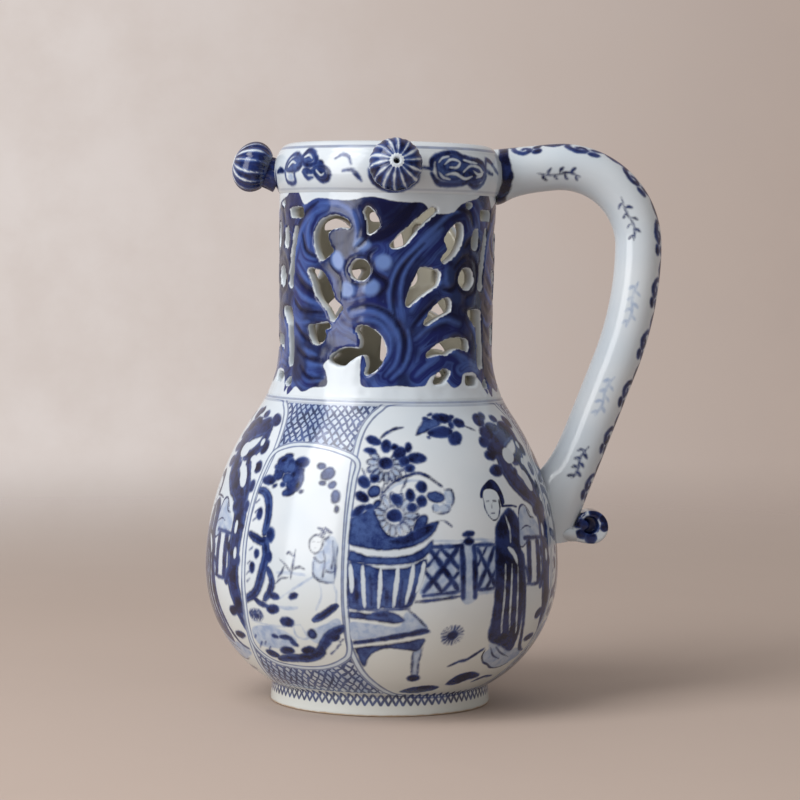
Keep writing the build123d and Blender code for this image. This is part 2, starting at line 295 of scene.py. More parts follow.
class Skin:
    def __init__(self, angle, height, centre, period, unit, girthAt, riseAt, far=paint["far"]):
        # unit is the radius on which the drawing's lengths along the wall are measured
        self.turn = (angle - centre + period / 2) % period - period / 2
        self.unit, self.girthAt, self.riseAt, self.far = unit, girthAt, riseAt, far
        self.girth, self.rise = girthAt(height), riseAt(height)
        self.fields = {name: np.full(len(height), far) for name in paint["layers"]}

    def chart(self, line, reach):
        turn = line[:, 0] / self.unit
        middle = (turn.min() + turn.max()) / 2
        flat = np.stack([(turn - middle) * self.girthAt(line[:, 1]), self.riseAt(line[:, 1])], 1)
        low, high = flat.min(0) - reach, flat.max(0) + reach
        near = np.nonzero((self.rise > low[1]) & (self.rise < high[1]))[0]
        px = (self.turn[near] - middle) * self.girth[near]
        inside = (px > low[0]) & (px < high[0])
        near = near[inside]
        return near, px[inside], self.rise[near], flat

    def lay(self, layer, near, distance):
        field = self.fields[layer]
        field[near] = np.minimum(field[near], distance)

    def merge(self, other):
        for name, field in other.fields.items():
            np.minimum(self.fields[name], field, out=self.fields[name])

    def stroke(self, layer, points, width, taper=paint["taper"]):
        # brush line; taper is how much of the width is lost at its ends
        line = smoothLine(points)
        near, px, py, flat = self.chart(line, self.far + width)
        share = np.linspace(0, 1, len(line))
        half = width / 2 * (1 - taper + taper * np.sin(np.pi * share) ** paint["bulge"])
        best = np.full(len(near), self.far)
        for a, b, first, last in zip(flat, flat[1:], half, half[1:]):
            distance, along = segmentDistance(px, py, a, b)
            best = np.minimum(best, distance - first - (last - first) * along)
        self.lay(layer, near, best)

    def outline(self, points):
        # signed distance to a closed curve, less than 0 inside it
        line = smoothLine(points, True)
        near, px, py, flat = self.chart(line, self.far)
        best = np.full(len(near), np.inf)
        inside = np.zeros(len(near), bool)
        for a, b in zip(flat, np.roll(flat, -1, 0)):
            best = np.minimum(best, segmentDistance(px, py, a, b)[0])
            if a[1] != b[1]:
                cross = (b[0] - a[0]) * (py - a[1]) / (b[1] - a[1]) + a[0]
                inside ^= ((a[1] > py) != (b[1] > py)) & (px < cross)
        return near, np.where(inside, -best, best)

    def fill(self, layer, points):
        self.lay(layer, *self.outline(points))

    def dab(self, layer, x, z, long, short, tilt=0.0):
        # oval touch of the brush
        turn = np.linspace(0, 2 * np.pi, 8, endpoint=False)
        tilt = math.radians(tilt)
        along, across = long * np.cos(turn), short * np.sin(turn)
        u = along * math.cos(tilt) - across * math.sin(tilt)
        v = along * math.sin(tilt) + across * math.cos(tilt)
        self.fill(layer, np.stack([x + u * self.unit / float(self.girthAt(z)), z + v], 1))

    def petals(self, x, z, size, count, first, last, body="pale", edge="mid"):
        # ring of petals, each a pale touch with an outline
        petal, home = paint["petal"], np.array([x, z])
        inner, outer, width = size
        for angle in np.linspace(math.radians(first), math.radians(last), count):
            out = np.array([math.cos(angle), math.sin(angle) * petal["squash"]])
            side = np.array([-out[1], out[0]]) * width
            middle, far, near = out * (inner + outer) / 2, out * outer, out * inner
            belly, root, tip = (side * petal[name] for name in ("belly", "root", "tip"))
            blade = [near, middle + belly, far, middle - belly]
            border = [near + root, middle + side, far + tip, far - tip, middle - side, near - root]
            self.fill(body, [home + point for point in blade])
            self.stroke(edge, [home + point for point in border], petal["line"], petal["taper"])

    def store(self, mesh):
        for name, field in self.fields.items():
            saveLayer(mesh, name + "Paint", field)


def flatSkin(angle, length, centre, radius):
    # skin of a ring or a tube, whose girth is the same all along
    def girth(at):
        return np.full(np.shape(at), radius)

    def rise(at):
        return np.asarray(at, float)

    return Skin(angle, length, centre, 2 * math.pi, radius, girth, rise)


def saveLayer(mesh, name, values):
    layer = mesh.attributes.new(name, "FLOAT", "POINT")
    layer.data.foreach_set("value", np.asarray(values, np.float32))


def meshPlaces(mesh):
    places = np.empty(len(mesh.vertices) * 3)
    mesh.vertices.foreach_get("co", places)
    return places.reshape(-1, 3) / mm


# shared steps that make a piece
def lathe(profile, columns, closed=True):
    bm = bmesh.new()
    verts = [bm.verts.new((r * mm, 0, z * mm)) for r, z in profile]
    pairs = list(zip(verts, verts[1:]))
    if closed:
        pairs.append((verts[-1], verts[0]))
    edges = [bm.edges.new(pair) for pair in pairs]
    bmesh.ops.spin(
        bm, geom=verts + edges, cent=(0, 0, 0), axis=(0, 0, 1), dvec=(0, 0, 0),
        angle=2 * math.pi, steps=columns, use_merge=True,
    )
    bmesh.ops.remove_doubles(bm, verts=bm.verts[:], dist=1e-7)
    bmesh.ops.recalc_face_normals(bm, faces=bm.faces[:])
    return bm


def softCopy(node, voxel, lump=None):
    # copy of a solid, with a lump of clay where it has one, made of small even faces
    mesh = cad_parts[node].data.copy()
    bm = bmesh.new()
    bm.from_mesh(mesh)
    bmesh.ops.remove_doubles(bm, verts=bm.verts[:], dist=1e-6)
    if lump is not None:
        bmesh.ops.create_icosphere(bm, subdivisions=4, radius=1.0, matrix=lump)
    bm.to_mesh(mesh)
    bm.free()
    holder = bpy.data.objects.new("holder", mesh)
    scene.collection.objects.link(holder)
    remesh = holder.modifiers.new("soften", "REMESH")
    remesh.mode = "VOXEL"
    remesh.voxel_size = voxel * mm
    bpy.context.view_layer.update()
    soft = bpy.data.meshes.new_from_object(holder.evaluated_get(bpy.context.evaluated_depsgraph_get()))
    bpy.data.objects.remove(holder)
    bm = bmesh.new()
    bm.from_mesh(soft)
    for spent in (mesh, soft):
        bpy.data.meshes.remove(spent)
    return bm


def soften(bm, verts):
    bmesh.ops.smooth_vert(bm, verts=verts, factor=0.5, use_axis_x=True, use_axis_y=True, use_axis_z=True)


def makePiece(name, bm, nodes, sharp=40):
    mesh = bpy.data.meshes.new(name)
    bm.to_mesh(mesh)
    bm.free()
    mesh.polygons.foreach_set("use_smooth", np.ones(len(mesh.polygons), bool))
    mesh.set_sharp_from_angle(angle=math.radians(sharp))
    piece = bpy.data.objects.new(name, mesh)
    scene.collection.objects.link(piece)
    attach(piece, "root")
    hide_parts(*nodes)
    print("piece", name, len(mesh.polygons), "faces")
    return piece


# the body's painting: three large panels and three narrow ones between them
panels = {
    "largeCentre": -59.5, "narrowCentre": -119.5, "repeat": 120.0, "unit": 67.5,
    "edgeReach": 4.0, "margin": 0.3, "paintDepth": 1.0,
}
largePanel = {
    "outline": [
        (-33, 117.2), (-41, 114.6), (-46, 111), (-49.2, 106), (-50.8, 98), (-51.8, 85), (-52.2, 68),
        (-52.2, 50), (-51.6, 38), (-50.4, 29), (-47, 20.5), (-42, 15), (-34, 10.4), (-24, 8.6), (0, 8),
        (22, 8.8), (30, 11.5), (36, 19), (40, 28), (42.4, 38), (43.4, 52), (43.4, 70), (44.8, 84),
        (46.4, 92), (47.4, 99), (46.4, 106), (43.4, 111.5), (38, 115.4), (32, 117.2), (0, 117.6),
    ],
}
narrowPanel = {
    "outline": [
        (-21.5, 97.6), (-23.6, 91), (-25, 81), (-25.6, 66), (-25.4, 52), (-25.3, 42), (-26.4, 33),
        (-27, 25.5), (-20, 21), (-10, 19.9), (0, 20), (8, 21.2), (14, 23.6), (17.6, 27), (17.8, 36),
        (17.3, 48), (17.2, 62), (17.6, 78), (18.4, 90), (18.8, 96.4), (10, 99.6), (0, 101), (-8, 101.2),
        (-15, 100.3),
    ],
}

flowers = {
    "darkTouches": [
        (-38.5, 96.2, 2.8, 2.3, 0), (-44.2, 104.3, 3.1, 1.6, -18), (-45.5, 100.7, 2.3, 1.2, -8),
        (-38.5, 102.4, 2.0, 2.4, 0), (-34.6, 102.1, 1.7, 1.1, 10), (-32.4, 100.2, 2.6, 2.2, 30),
        (-30.6, 97.2, 2.0, 2.0, 0), (-28.6, 102, 1.4, 2.0, -20), (-25, 98.3, 3.8, 1.9, 0),
        (-28.5, 94.6, 2.0, 1.6, 0), (-47.2, 89.5, 2.7, 2.0, -35), (-43, 90.7, 1.8, 1.5, 0),
        (-47.6, 84.3, 2.8, 1.8, -30), (-34.2, 83.7, 2.4, 1.9, -30), (-28.7, 85, 1.9, 2.3, 10),
        (-24, 88, 2.1, 2.1, 30), (-24.3, 83, 2.1, 2.0, -20), (-28.3, 80.7, 2.0, 1.7, 0),
        (-35, 77.8, 2.9, 2.4, 0), (-48.6, 79.2, 3.2, 1.6, 35), (-44.6, 80.6, 2.0, 1.2, 10),
    ],
    "midTouches": [
        (-43, 86.3, 2.7, 2.2, 30), (-18.4, 84.4, 3.7, 2.1, -8), (-25, 75, 2.2, 4.0, -38),
        (-41.6, 82, 2.0, 1.4, 40),
    ],
    "paleTouches": [(-13, 84.4, 2.1, 2.6, 0), (-15, 80.6, 2.4, 1.5, 20), (-18.8, 80.6, 1.8, 1.4, -20)],
    "midLines": [
        ([(-41.8, 104.4), (-38.5, 107), (-34.5, 108.5), (-30, 109.1)], 1.3),
        ([
            (-39.6, 85.6), (-36, 89.2), (-30, 91.9), (-25, 92.9), (-21.5, 92), (-18.6, 90.2),
            (-15.4, 88.2),
        ], 1.5),
        ([(-48.4, 94.2), (-46.8, 91.6)], 0.9), ([(-41, 82), (-39.6, 87), (-38.8, 90.6)], 0.8),
        ([(-31, 96), (-30, 91), (-32.4, 86.6)], 0.7), ([(-24, 85), (-25.4, 81), (-28.4, 78)], 0.7),
        ([(-14.6, 87), (-11.6, 86.8), (-11, 83.6), (-12.4, 80.8)], 0.7),
        ([(-16, 82.4), (-13, 80), (-15.6, 78.6), (-19.6, 79), (-20, 81.4)], 0.7),
        ([(-17.6, 76.2), (-15, 75.4), (-12.8, 73.8)], 0.7),
    ],
    "paleLines": [([(-39.8, 84), (-35, 88.4), (-29, 90.3), (-24.4, 90.2)], 1.0)],
    "petalRings": [
        (-38.5, 96.2, (3.2, 7.6, 1.15), 11, 150, 395), (-35, 77.8, (3.6, 8.8, 1.3), 15, 0, 336),
    ],
}

planter = {
    "ribWidth": 1.7, "shadeWidth": 2.2, "lineWidth": 0.8,
    "mouth": [
        (-52, 75.6), (-47, 79), (-43, 80), (-38, 72), (-31, 70), (-24, 74.4), (-17.6, 76), (-20, 71.8),
        (-24, 68.4), (-30, 66.2), (-38, 65.2), (-45, 65.8), (-52, 67.6),
    ],
    "mouthShade": [(-30, 71.4), (-25, 73.8), (-19, 75.2), (-22, 71), (-27, 68.4), (-33, 67.4), (-38, 68.6)],
    "band": [
        (-52, 65.4), (-46, 63.6), (-38, 62.9), (-30, 63.8), (-24.6, 66), (-20.6, 69.2), (-21.6, 65),
        (-25, 62), (-31, 60.4), (-39, 59.9), (-46, 60.4), (-52, 61.6),
    ],
    "body": [
        (-52, 60.4), (-39, 58.8), (-30, 59.4), (-23, 62.4), (-24.4, 55), (-27, 48.6), (-29.4, 44.6),
        (-40, 44), (-52, 44.6),
    ],
    "ribs": [
        [(-51, 60), (-50.4, 55), (-50.2, 50)], [(-46.4, 59.6), (-46, 52), (-45.4, 44.4)],
        [(-39.8, 59), (-40, 52), (-40.4, 44.4)], [(-33.6, 59.6), (-34.2, 52), (-35, 44.8)],
        [(-28, 60), (-28.8, 54), (-30.6, 46)], [(-24, 61), (-25.2, 55), (-26.8, 50)],
    ],
    "shades": [
        [(-49, 56), (-48.4, 51), (-48.2, 45.4)], [(-43.6, 57), (-43.2, 51), (-43, 45.2)],
        [(-37.6, 51), (-37.6, 48), (-37.6, 45)], [(-32, 55), (-32.4, 50), (-33, 45.2)],
        [(-26.6, 55), (-27.8, 50), (-29.2, 46)],
    ],
    "footLine": [(-52, 44.2), (-40, 43.6), (-29, 44.2)],
    "shadow": [
        (-51, 42.8), (-43, 42.3), (-38.5, 43.4), (-34, 42.3), (-30.5, 39.6), (-34, 38.4), (-42, 39.4),
        (-51, 40.2),
    ],
    "shadowCore": (-39.4, 41.8, 3.4, 1.2, 0),
}

table = {
    "lineWidth": 0.8,
    "top": [(-51, 38.6), (-42, 38.2), (-33, 37.4), (-29.6, 43), (-21.4, 36), (-36, 33.8), (-50.8, 32.2)],
    "edge": [
        (-51, 31.2), (-40, 33.2), (-28, 35.6), (-22.6, 36.6), (-20.6, 35.3), (-23, 34.4), (-36, 32.2),
        (-51, 29.9),
    ],
    "apron": [
        (-50, 28.6), (-42, 30), (-32, 31.2), (-23.2, 32.8), (-22.4, 30.8), (-24.6, 27.6), (-29, 28),
        (-36, 28.7), (-41, 27.4), (-44, 25), (-46, 21.4), (-48, 21.2), (-49.8, 26),
    ],
    "leg": [(-26.4, 28), (-25.9, 23), (-25.2, 17.6), (-22.4, 17.6), (-23.2, 23), (-23, 28.6)],
    "legEdges": [[(-26.4, 28), (-26, 23), (-25.2, 17.6)], [(-22.8, 29), (-23.2, 23), (-22.4, 17.4)]],
    "foot": (-23.8, 16.5, 2.4, 1.5, 0),
    "backEdge": [(-29.4, 43.6), (-25.4, 40), (-21.2, 36)],
}

fence = {
    "railTaper": 0.1, "barTaper": 0.2,
    "rails": [
        ([(-20, 68.8), (-12, 68.4), (-3, 68.8), (5, 68.4)], 0.7, "pale"),
        ([(-21.4, 66.6), (-14, 66.6), (-9, 66.8)], 1.4, "dark"),
        ([(-3.4, 66.8), (5.4, 66.6)], 1.4, "dark"),
        ([(-27, 46.6), (-18, 47.4), (-9.6, 48.4)], 1.2, "mid"),
        ([(-24.4, 48.8), (-16, 49.6), (-10, 50)], 1.1, "dark"), ([(-3, 50.4), (5, 50.6)], 1.1, "dark"),
        ([(-3, 48.8), (5, 49.2)], 0.7, "pale"),
    ],
    "lattices": [
        [(-21.4, 66), (-10.6, 66.4), (-10.4, 49.6), (-25, 49), (-24, 54), (-22, 60)],
        [(-3, 66.4), (5.2, 66.4), (5.2, 50.6), (-2.6, 50.4)],
    ],
    "bars": [
        ([(-24, 50.4), (-18, 57.6), (-11.4, 65.4)], 2.2), ([(-21.6, 65.4), (-16.4, 58.4), (-11, 51)], 2.2),
        ([(-17.4, 65.8), (-14, 62.4), (-10.8, 58.6)], 1.7),
        ([(-23.4, 57.4), (-20.4, 54), (-17.4, 50.4)], 1.7),
        ([(-22.8, 59.6), (-20.4, 62.4), (-18.4, 65)], 1.4),
        ([(-16.6, 50.6), (-13.6, 54), (-11, 57)], 1.6), ([(-2.8, 65.6), (1.2, 58.4), (5, 51.4)], 2.0),
        ([(5, 65.6), (1.2, 58.4), (-2.6, 51.2)], 2.0), ([(-2.6, 59.6), (-0.8, 62.6), (1.2, 65.6)], 1.4),
        ([(1.2, 51), (3.2, 54), (5, 57)], 1.4),
    ],
    "post": [(-10, 66.4), (-3.2, 66.4), (-3.2, 47.6), (-9.6, 47.4)],
    "postBars": [
        ([(-9.2, 66.4), (-9, 57), (-8.8, 47.8)], 2.3), ([(-4, 66.4), (-3.9, 57), (-3.8, 48)], 2.3),
    ],
    "cap": [(-6.2, 70.9, 2.7, 1.1, 5), (-6.2, 68.2, 2.3, 1.4, 0)],
}

lady = {
    "foldWeight": 0.8, "faceBrush": (0.7, 0.2), "featureTaper": 0.3,
    "robe": [
        (8.6, 75.4), (6.2, 71.6), (5.2, 63), (5, 50), (5, 40), (5.2, 33), (7.4, 30), (14.4, 27.6),
        (24, 24.8), (24.4, 30), (22.4, 38), (21.2, 47), (20.6, 55), (21, 61), (19, 66), (19.8, 72),
        (19.4, 76.4), (16, 79.4), (12.6, 78.6),
    ],
    "robeShades": [
        ([(6.6, 70), (6.4, 56), (6.6, 42), (7.4, 33)], 2.4), ([(17.6, 78), (17.8, 73), (16.4, 68)], 2.6),
        ([(12, 46), (12.4, 38), (14, 31.4)], 1.8), ([(15.8, 46), (16.8, 38), (19, 30)], 1.9),
        ([(8.6, 66), (8.8, 60), (8.6, 55)], 2.0),
        ([(20.6, 62), (20.8, 54), (22, 44), (24.8, 35), (28.6, 27.6), (32, 24.8), (36, 23.8)], 2.0),
        ([(19, 58), (22, 56.6), (22.8, 53.6)], 1.6),
    ],
    "folds": [
        ([(10.2, 59), (10, 48), (10.6, 38), (12.4, 33)], 1.0),
        ([(13.8, 59), (13.4, 48), (14.4, 40), (16.6, 33.6)], 1.1),
        ([(17, 58), (17.2, 48), (18.8, 39), (21.6, 32)], 1.0),
        ([(12.4, 77), (13.8, 72), (13.6, 67)], 0.9),
    ],
    "sash": ([(12.2, 65), (15, 62.6), (16.8, 59)], 1.9),
    "sleeve": [
        (16.8, 66), (17.6, 70.4), (19.6, 75), (21.6, 79), (25, 79.8), (28.4, 77), (31.6, 74),
        (34, 71.4), (33, 68.8), (28, 68.4), (24, 67), (21.4, 65.2),
    ],
    "sleeveLines": [
        ([(19.4, 74), (21.6, 79), (25.2, 80), (28.6, 77)], 0.9),
        ([(26, 78.6), (28, 75.6), (31, 75)], 0.8), ([(17, 66), (20, 64.8), (23.6, 66.4)], 0.9),
        ([(20, 71), (24, 72.4), (27.6, 71.6)], 0.7),
    ],
    "hair": [
        (1, 84), (2, 86.6), (4.6, 88.6), (8.4, 90.2), (11.4, 88.6), (13.2, 85), (13.4, 81.4),
        (11.2, 80.6), (10.8, 83.6), (9.6, 85.8), (6.6, 86.8), (3.6, 86.2), (2.2, 83.6),
    ],
    "face": (6.2, 81, 4.0, 5.4, 0),
    "faceLine": [
        (2.4, 83.6), (2.8, 79.4), (4.6, 76.4), (6.6, 75.4), (8.8, 76.6), (10.2, 79.6), (10.4, 82.4),
    ],
    "features": [
        ([(3.7, 82.3), (5.2, 82.4)], 0.9), ([(7.2, 82.4), (8.7, 82.3)], 0.9),
        ([(6.2, 81.2), (6.1, 79.9)], 0.7), ([(5.4, 78.0), (7.0, 78.0)], 0.9),
    ],
    "ribbon": ([(11.4, 80.2), (15.6, 80.3), (20, 79.7)], 1.0),
    "train": [
        (7.4, 29.4), (8.4, 27), (6.6, 24.6), (9, 21.6), (13, 20), (17.4, 18.4), (24, 18.2), (30, 19.6),
        (36, 22.4), (28, 25.6), (23, 25), (14, 27.8),
    ],
    "trainLines": [
        ([(6.8, 27), (6.4, 24.4), (9, 21.6), (13, 20.2), (17.4, 18.5), (24, 18.2), (30, 19.4)], 0.9),
        ([(9, 27.6), (13, 24), (19, 22)], 0.8), ([(12, 27.6), (17.4, 24.6), (26, 22)], 0.8),
    ],
}

tree = {
    "brushes": (("mid", 1.2), ("dark", 0.85)),
    "boughs": [
        ([
            (41, 40), (37.6, 50), (37.4, 64), (38.2, 74), (35, 81.4), (27, 86), (21.6, 91), (20, 97),
            (21.4, 103), (27.6, 105.6), (35, 107),
        ], 7.2, 0.15),
        ([(38, 106), (37, 100.6), (33, 97.2), (27.4, 96)], 4.4, 0.3),
        ([(31.6, 96), (34.6, 91.6), (38.6, 85), (39.4, 78)], 3.4, 0.3),
        ([(39, 62), (35.6, 54), (32.6, 49.4)], 4.2, 0.4), ([(37, 44), (40, 36), (42, 31)], 3.0, 0.6),
    ],
    "leaves": [
        (13.6, 93.2, 3.8, 2.2, 5), (12.4, 98.6, 3.4, 1.9, 0), (11.6, 103.6, 3.0, 2.1, 10),
        (15.6, 106.6, 4.0, 2.6, 0), (16.2, 101, 3.8, 3.0, 0), (22, 108.4, 4.4, 2.0, -8),
        (13.8, 111.4, 3.0, 2.4, 0), (30.6, 108.6, 4.2, 2.0, 12), (39.4, 110, 3.4, 2.0, -25),
        (35.4, 38.6, 3.2, 2.0, 15), (34.6, 29.2, 4.0, 1.4, 3), (40.6, 100, 2.2, 2.6, 0),
        (41.6, 92.6, 2.2, 2.4, 10), (41.4, 85.6, 1.8, 2.6, 0), (41.2, 78, 1.7, 2.4, 0),
        (40.8, 70.6, 1.6, 2.2, 0), (40.2, 58, 1.8, 2.4, 0), (33.4, 77.6, 2.0, 2.4, 20),
        (33.6, 62.4, 1.7, 2.2, 0), (25, 92, 2.2, 1.8, 30), (17.4, 112.6, 2.2, 1.5, 10),
        (26.6, 111.6, 2.4, 1.4, -10),
    ],
    "gaps": [
        (24.6, 98.2, 3.6, 2.8, 10), (33, 88.6, 2.2, 4.4, 30), (35.4, 95.6, 1.6, 1.1, 20),
        (37, 70, 0.9, 2.6, 0), (38.4, 60.6, 0.9, 2.3, 0), (38.6, 92, 1.1, 1.7, 0),
        (37.6, 101.6, 1.2, 1.4, 0),
    ],
    "shades": [
        ([(39.4, 46), (39, 58), (39.8, 70), (39.6, 79)], 2.6),
        ([(17.4, 94), (18, 101), (22, 105)], 2.2), ([(24, 91), (30, 86.8), (35, 83)], 2.0),
        ([(13, 108.6), (12, 105), (12.6, 101)], 1.6),
    ],
    "fence": [
        ([(22, 68), (28, 67.8), (34.4, 67.4)], 1.5), ([(22.4, 51), (28, 50.4), (33, 51)], 1.2),
        ([(24.4, 66), (24.2, 52)], 3.4), ([(31, 66), (31, 52)], 3.8),
    ],
}

spray = {
    "wing": [
        (-24.6, 106.2), (-22.6, 109), (-18.4, 112.4), (-13.4, 112), (-10.6, 110.4), (-15, 108.6),
        (-20, 107),
    ],
    "leaves": [
        (-9, 112.4, 4.2, 1.8, -3), (-11.6, 107.4, 5.4, 2.1, 4), (-4.6, 105.2, 3.4, 2.3, 30),
        (0, 110.6, 2.6, 1.8, -8), (-18.6, 112.3, 0.9, 0.7, 0), (-15.4, 113.7, 1.2, 0.6, 15),
        (-18.2, 105.6, 0.8, 0.6, 0), (-3.3, 112.8, 1.3, 0.8, 0), (-7.6, 105.8, 0.9, 0.9, 0),
        (-4.9, 109.8, 1.2, 1.4, 0),
    ],
    "stem": ([(1.4, 110), (4.4, 109), (8.6, 107.8)], 0.9),
}

ground = {
    "darkBanks": [
        [(-28.4, 10.4), (-22, 12.4), (-14, 12.9), (-7.6, 11.6), (-14, 9.9), (-22, 9.5)],
        [(-5, 13.2), (-2, 16.6), (3.4, 17.8), (9, 17.2), (13, 15.4), (6, 13.8), (0, 12.4)],
    ],
    "darkLines": [
        ([(-9, 21), (-5, 22.6), (-1, 23.4), (2.6, 25.4), (5.8, 27.4)], 1.4),
        ([(12, 13), (18, 14.6), (25, 14.4)], 1.6),
    ],
    "tuft": {"centre": (-11.2, 33.6), "rays": 17, "size": (4.6, 3.7), "heart": (-11.0, 33.6, 2.3, 1.9, 0)},
}

garden = {
    "rockBrushes": (("mid", 1.4, 0.3), ("dark", 0.8, 0.5)),
    "bankBrushes": (("mid", 1.5, 0.4), ("dark", 1.1, 0.5)),
    "scratch": np.array([(-0.7, -0.6), (0.7, 0.6)]), "lineWidth": 0.8,
    "midTouches": [
        (-13.4, 94.4, 4.6, 3.2, -15), (-15.4, 90.4, 2.6, 2.0, 20), (-6.4, 89, 3.8, 4.6, -15),
        (-8.4, 84.6, 3.0, 1.6, 10), (-9, 93.6, 3.0, 2.6, 0), (-12.6, 97.6, 2.4, 1.2, 0),
        (4.4, 33.4, 2.0, 2.0, 0), (-2.4, 85.2, 1.0, 0.8, 0), (8, 92, 3.0, 2.4, 20),
        (12.6, 84, 2.0, 2.6, 0), (-17.6, 93.6, 1.6, 1.2, 0), (-10.4, 89.8, 2.4, 2.2, 0),
        (-4.6, 92.4, 1.8, 1.6, 0), (-15.8, 86.6, 1.4, 1.0, 20), (4.6, 94.6, 2.0, 1.4, -10),
        (10.6, 88.2, 1.8, 1.4, 30), (13.4, 79.6, 1.2, 1.6, 0), (6.4, 88.6, 1.4, 1.0, 0),
    ],
    "darkTouches": [
        (-5, 95.6, 3.4, 2.1, 5), (-19.8, 88.4, 3.6, 1.8, 0), (-13.6, 68.8, 2.2, 2.9, 10),
        (-13.6, 60.8, 1.9, 2.2, 0), (-11.6, 41.6, 3.1, 1.8, 8), (-5.8, 37.2, 3.3, 1.9, 0),
        (-13.4, 30.9, 1.6, 0.8, 0), (-4.6, 28.8, 2.0, 1.0, -25), (-14.6, 96.2, 1.8, 1.2, 20),
        (-10.6, 95.8, 1.6, 1.3, 0), (-16.6, 91.8, 1.4, 1.0, -20), (-8, 91.2, 1.5, 1.2, 10),
        (-11.8, 87.2, 1.3, 1.0, 0), (-4.4, 87.4, 1.4, 1.7, 0), (-20.6, 76.2, 1.6, 2.4, 0),
        (-21.6, 56.2, 1.5, 2.2, 0), (-19.6, 61.4, 1.4, 1.8, 0), (-9.4, 25.6, 3.6, 1.7, 8),
        (1.2, 26.6, 3.2, 1.8, 12), (9.6, 29.8, 2.4, 1.6, 40), (-18.6, 23.6, 3.4, 1.5, -6),
        (13.4, 32.6, 2.2, 1.4, 30), (-2.2, 47.2, 2.2, 1.2, 20), (-10.6, 46.6, 2.6, 1.4, -10),
    ],
    "rock": [
        ([(-25, 84.6), (-20.4, 84), (-17.2, 81), (-16, 75), (-16.6, 69)], 2.8),
        ([(-24.6, 68.6), (-20, 66.8), (-15, 65.6)], 2.6),
        ([(-16.4, 67), (-14.8, 62), (-16.4, 55), (-18.6, 48.6), (-22, 45.6), (-25.4, 44)], 3.0),
        ([(-13.4, 56.4), (-11.4, 52), (-12.4, 48), (-15, 45)], 2.2),
        ([(-22, 46), (-18, 43.4), (-14, 42.4)], 1.6),
    ],
    "banks": [
        ([(-15.4, 21.8), (-8, 22.8), (0, 23.6), (6, 26), (8, 29.6)], 3.0),
        ([(7, 28), (11.6, 33), (17, 36.4)], 2.8), ([(6, 38.8), (10, 41), (14.6, 44.6)], 2.2),
        ([(-10.4, 31), (-6.6, 31), (-4.4, 29)], 1.5),
    ],
    "paleLines": [
        ([(-10, 42.6), (-5, 42.4), (-0.6, 43)], 1.3),
        ([(-3.4, 35.4), (-2.6, 32), (0.4, 31), (2.6, 31.6)], 0.8),
        ([(0.2, 36), (1.8, 33), (3, 31.4)], 0.8), ([(-8, 46), (0, 51), (6, 55)], 0.8),
        ([(-24, 36), (-12, 35), (0, 36.6)], 0.8), ([(8.4, 53), (9.2, 48), (7, 42.6)], 0.8),
        ([(13.6, 53), (15, 49), (14.6, 45.4)], 0.8), ([(-9.4, 55.4), (-5, 55.6), (2.6, 55.4)], 1.2),
    ],
    "paleWashes": [
        [(-25, 33), (-16, 35), (-8, 33.6), (-3, 30), (-8, 27), (-18, 26), (-25, 27)],
        [(2, 34), (8, 36.6), (15, 40), (16.4, 36), (11, 31), (5, 30)],
    ],
    "twigs": [
        [(-3.2, 53.6), (-2.4, 59), (-1.6, 64.4)], [(-3.2, 56), (-5.8, 58.6), (-8.6, 60.6)],
        [(-2.6, 57), (0.2, 58), (2.4, 57.4)], [(-8.8, 53.6), (-7, 56), (-6.4, 58)],
        [(-2, 61.4), (-4.2, 63), (-5.4, 62.4)], [(-9.6, 51.4), (-7.4, 53.2), (-4.6, 53.8)],
    ],
    "bark": [
        (-23.2, 80.6), (-22.6, 77), (-23.2, 73.8), (-22.8, 63), (-23.4, 58), (-23.8, 54), (-23.4, 51.4),
    ],
    "scratches": [
        (-25, 29.6), (-22.6, 27.4), (-24.4, 25.8), (-20, 27.8), (-18.4, 26), (11.6, 26.4), (13.4, 27.8),
        (14.8, 29.4), (16.2, 31.4),
    ],
    "tuft": {"centre": (-20.8, 38.4), "rays": 18, "size": (3.6, 2.2), "heart": (-20.8, 38.2, 1.6, 0.9, 0)},
}

child = {
    "headBrush": (0.7, 0.1),
    "robe": [
        (7.4, 64), (5.6, 60), (6, 55.4), (9, 53.2), (14, 53.2), (14.6, 60), (15.2, 66), (13, 69.6),
        (10, 69), (9.2, 65),
    ],
    "headLine": [
        (8.4, 69.4), (6, 70), (4, 68), (3.9, 65.4), (5.4, 63.6), (7.4, 63.8), (8.9, 66), (8.8, 68.4),
    ],
    "hair": [
        ([(6.6, 72.6), (8.4, 72), (9.6, 70.4)], 1.1), ([(9.6, 72.8), (11, 71.6), (12.4, 71)], 0.9),
        ([(8, 70.6), (9.8, 68.6), (11.2, 69.6)], 1.0),
    ],
    "lines": [
        ([(10.6, 57.4), (12.4, 56.8), (14, 57)], 0.8), ([(6, 62), (8, 60.4), (10.4, 60.6)], 0.7),
        ([(9.4, 64.6), (10.2, 61), (9.6, 55)], 0.7), ([(13, 68), (13.4, 62), (12.8, 58)], 0.7),
        ([(5.6, 60), (6, 55.6), (9, 53.2), (14, 53)], 0.8), ([(14.8, 66), (14.4, 60), (14, 53.4)], 0.8),
    ],
    "features": [
        ([(5, 67.6), (5.7, 67.6)], 0.5), ([(6.9, 67.6), (7.6, 67.6)], 0.5),
        ([(6, 65.4), (6.8, 65.4)], 0.5),
    ],
}


def drawTuft(skin, tuft):
    x, z = tuft["centre"]
    wide, tall = tuft["size"]
    for index in range(tuft["rays"]):
        angle = 2 * math.pi * index / tuft["rays"]
        end = (x + wide * math.cos(angle), z + tall * math.sin(angle))
        skin.stroke("dark", [(x, z), end], *paint["tuftBrush"])
    skin.dab("dark", *tuft["heart"])


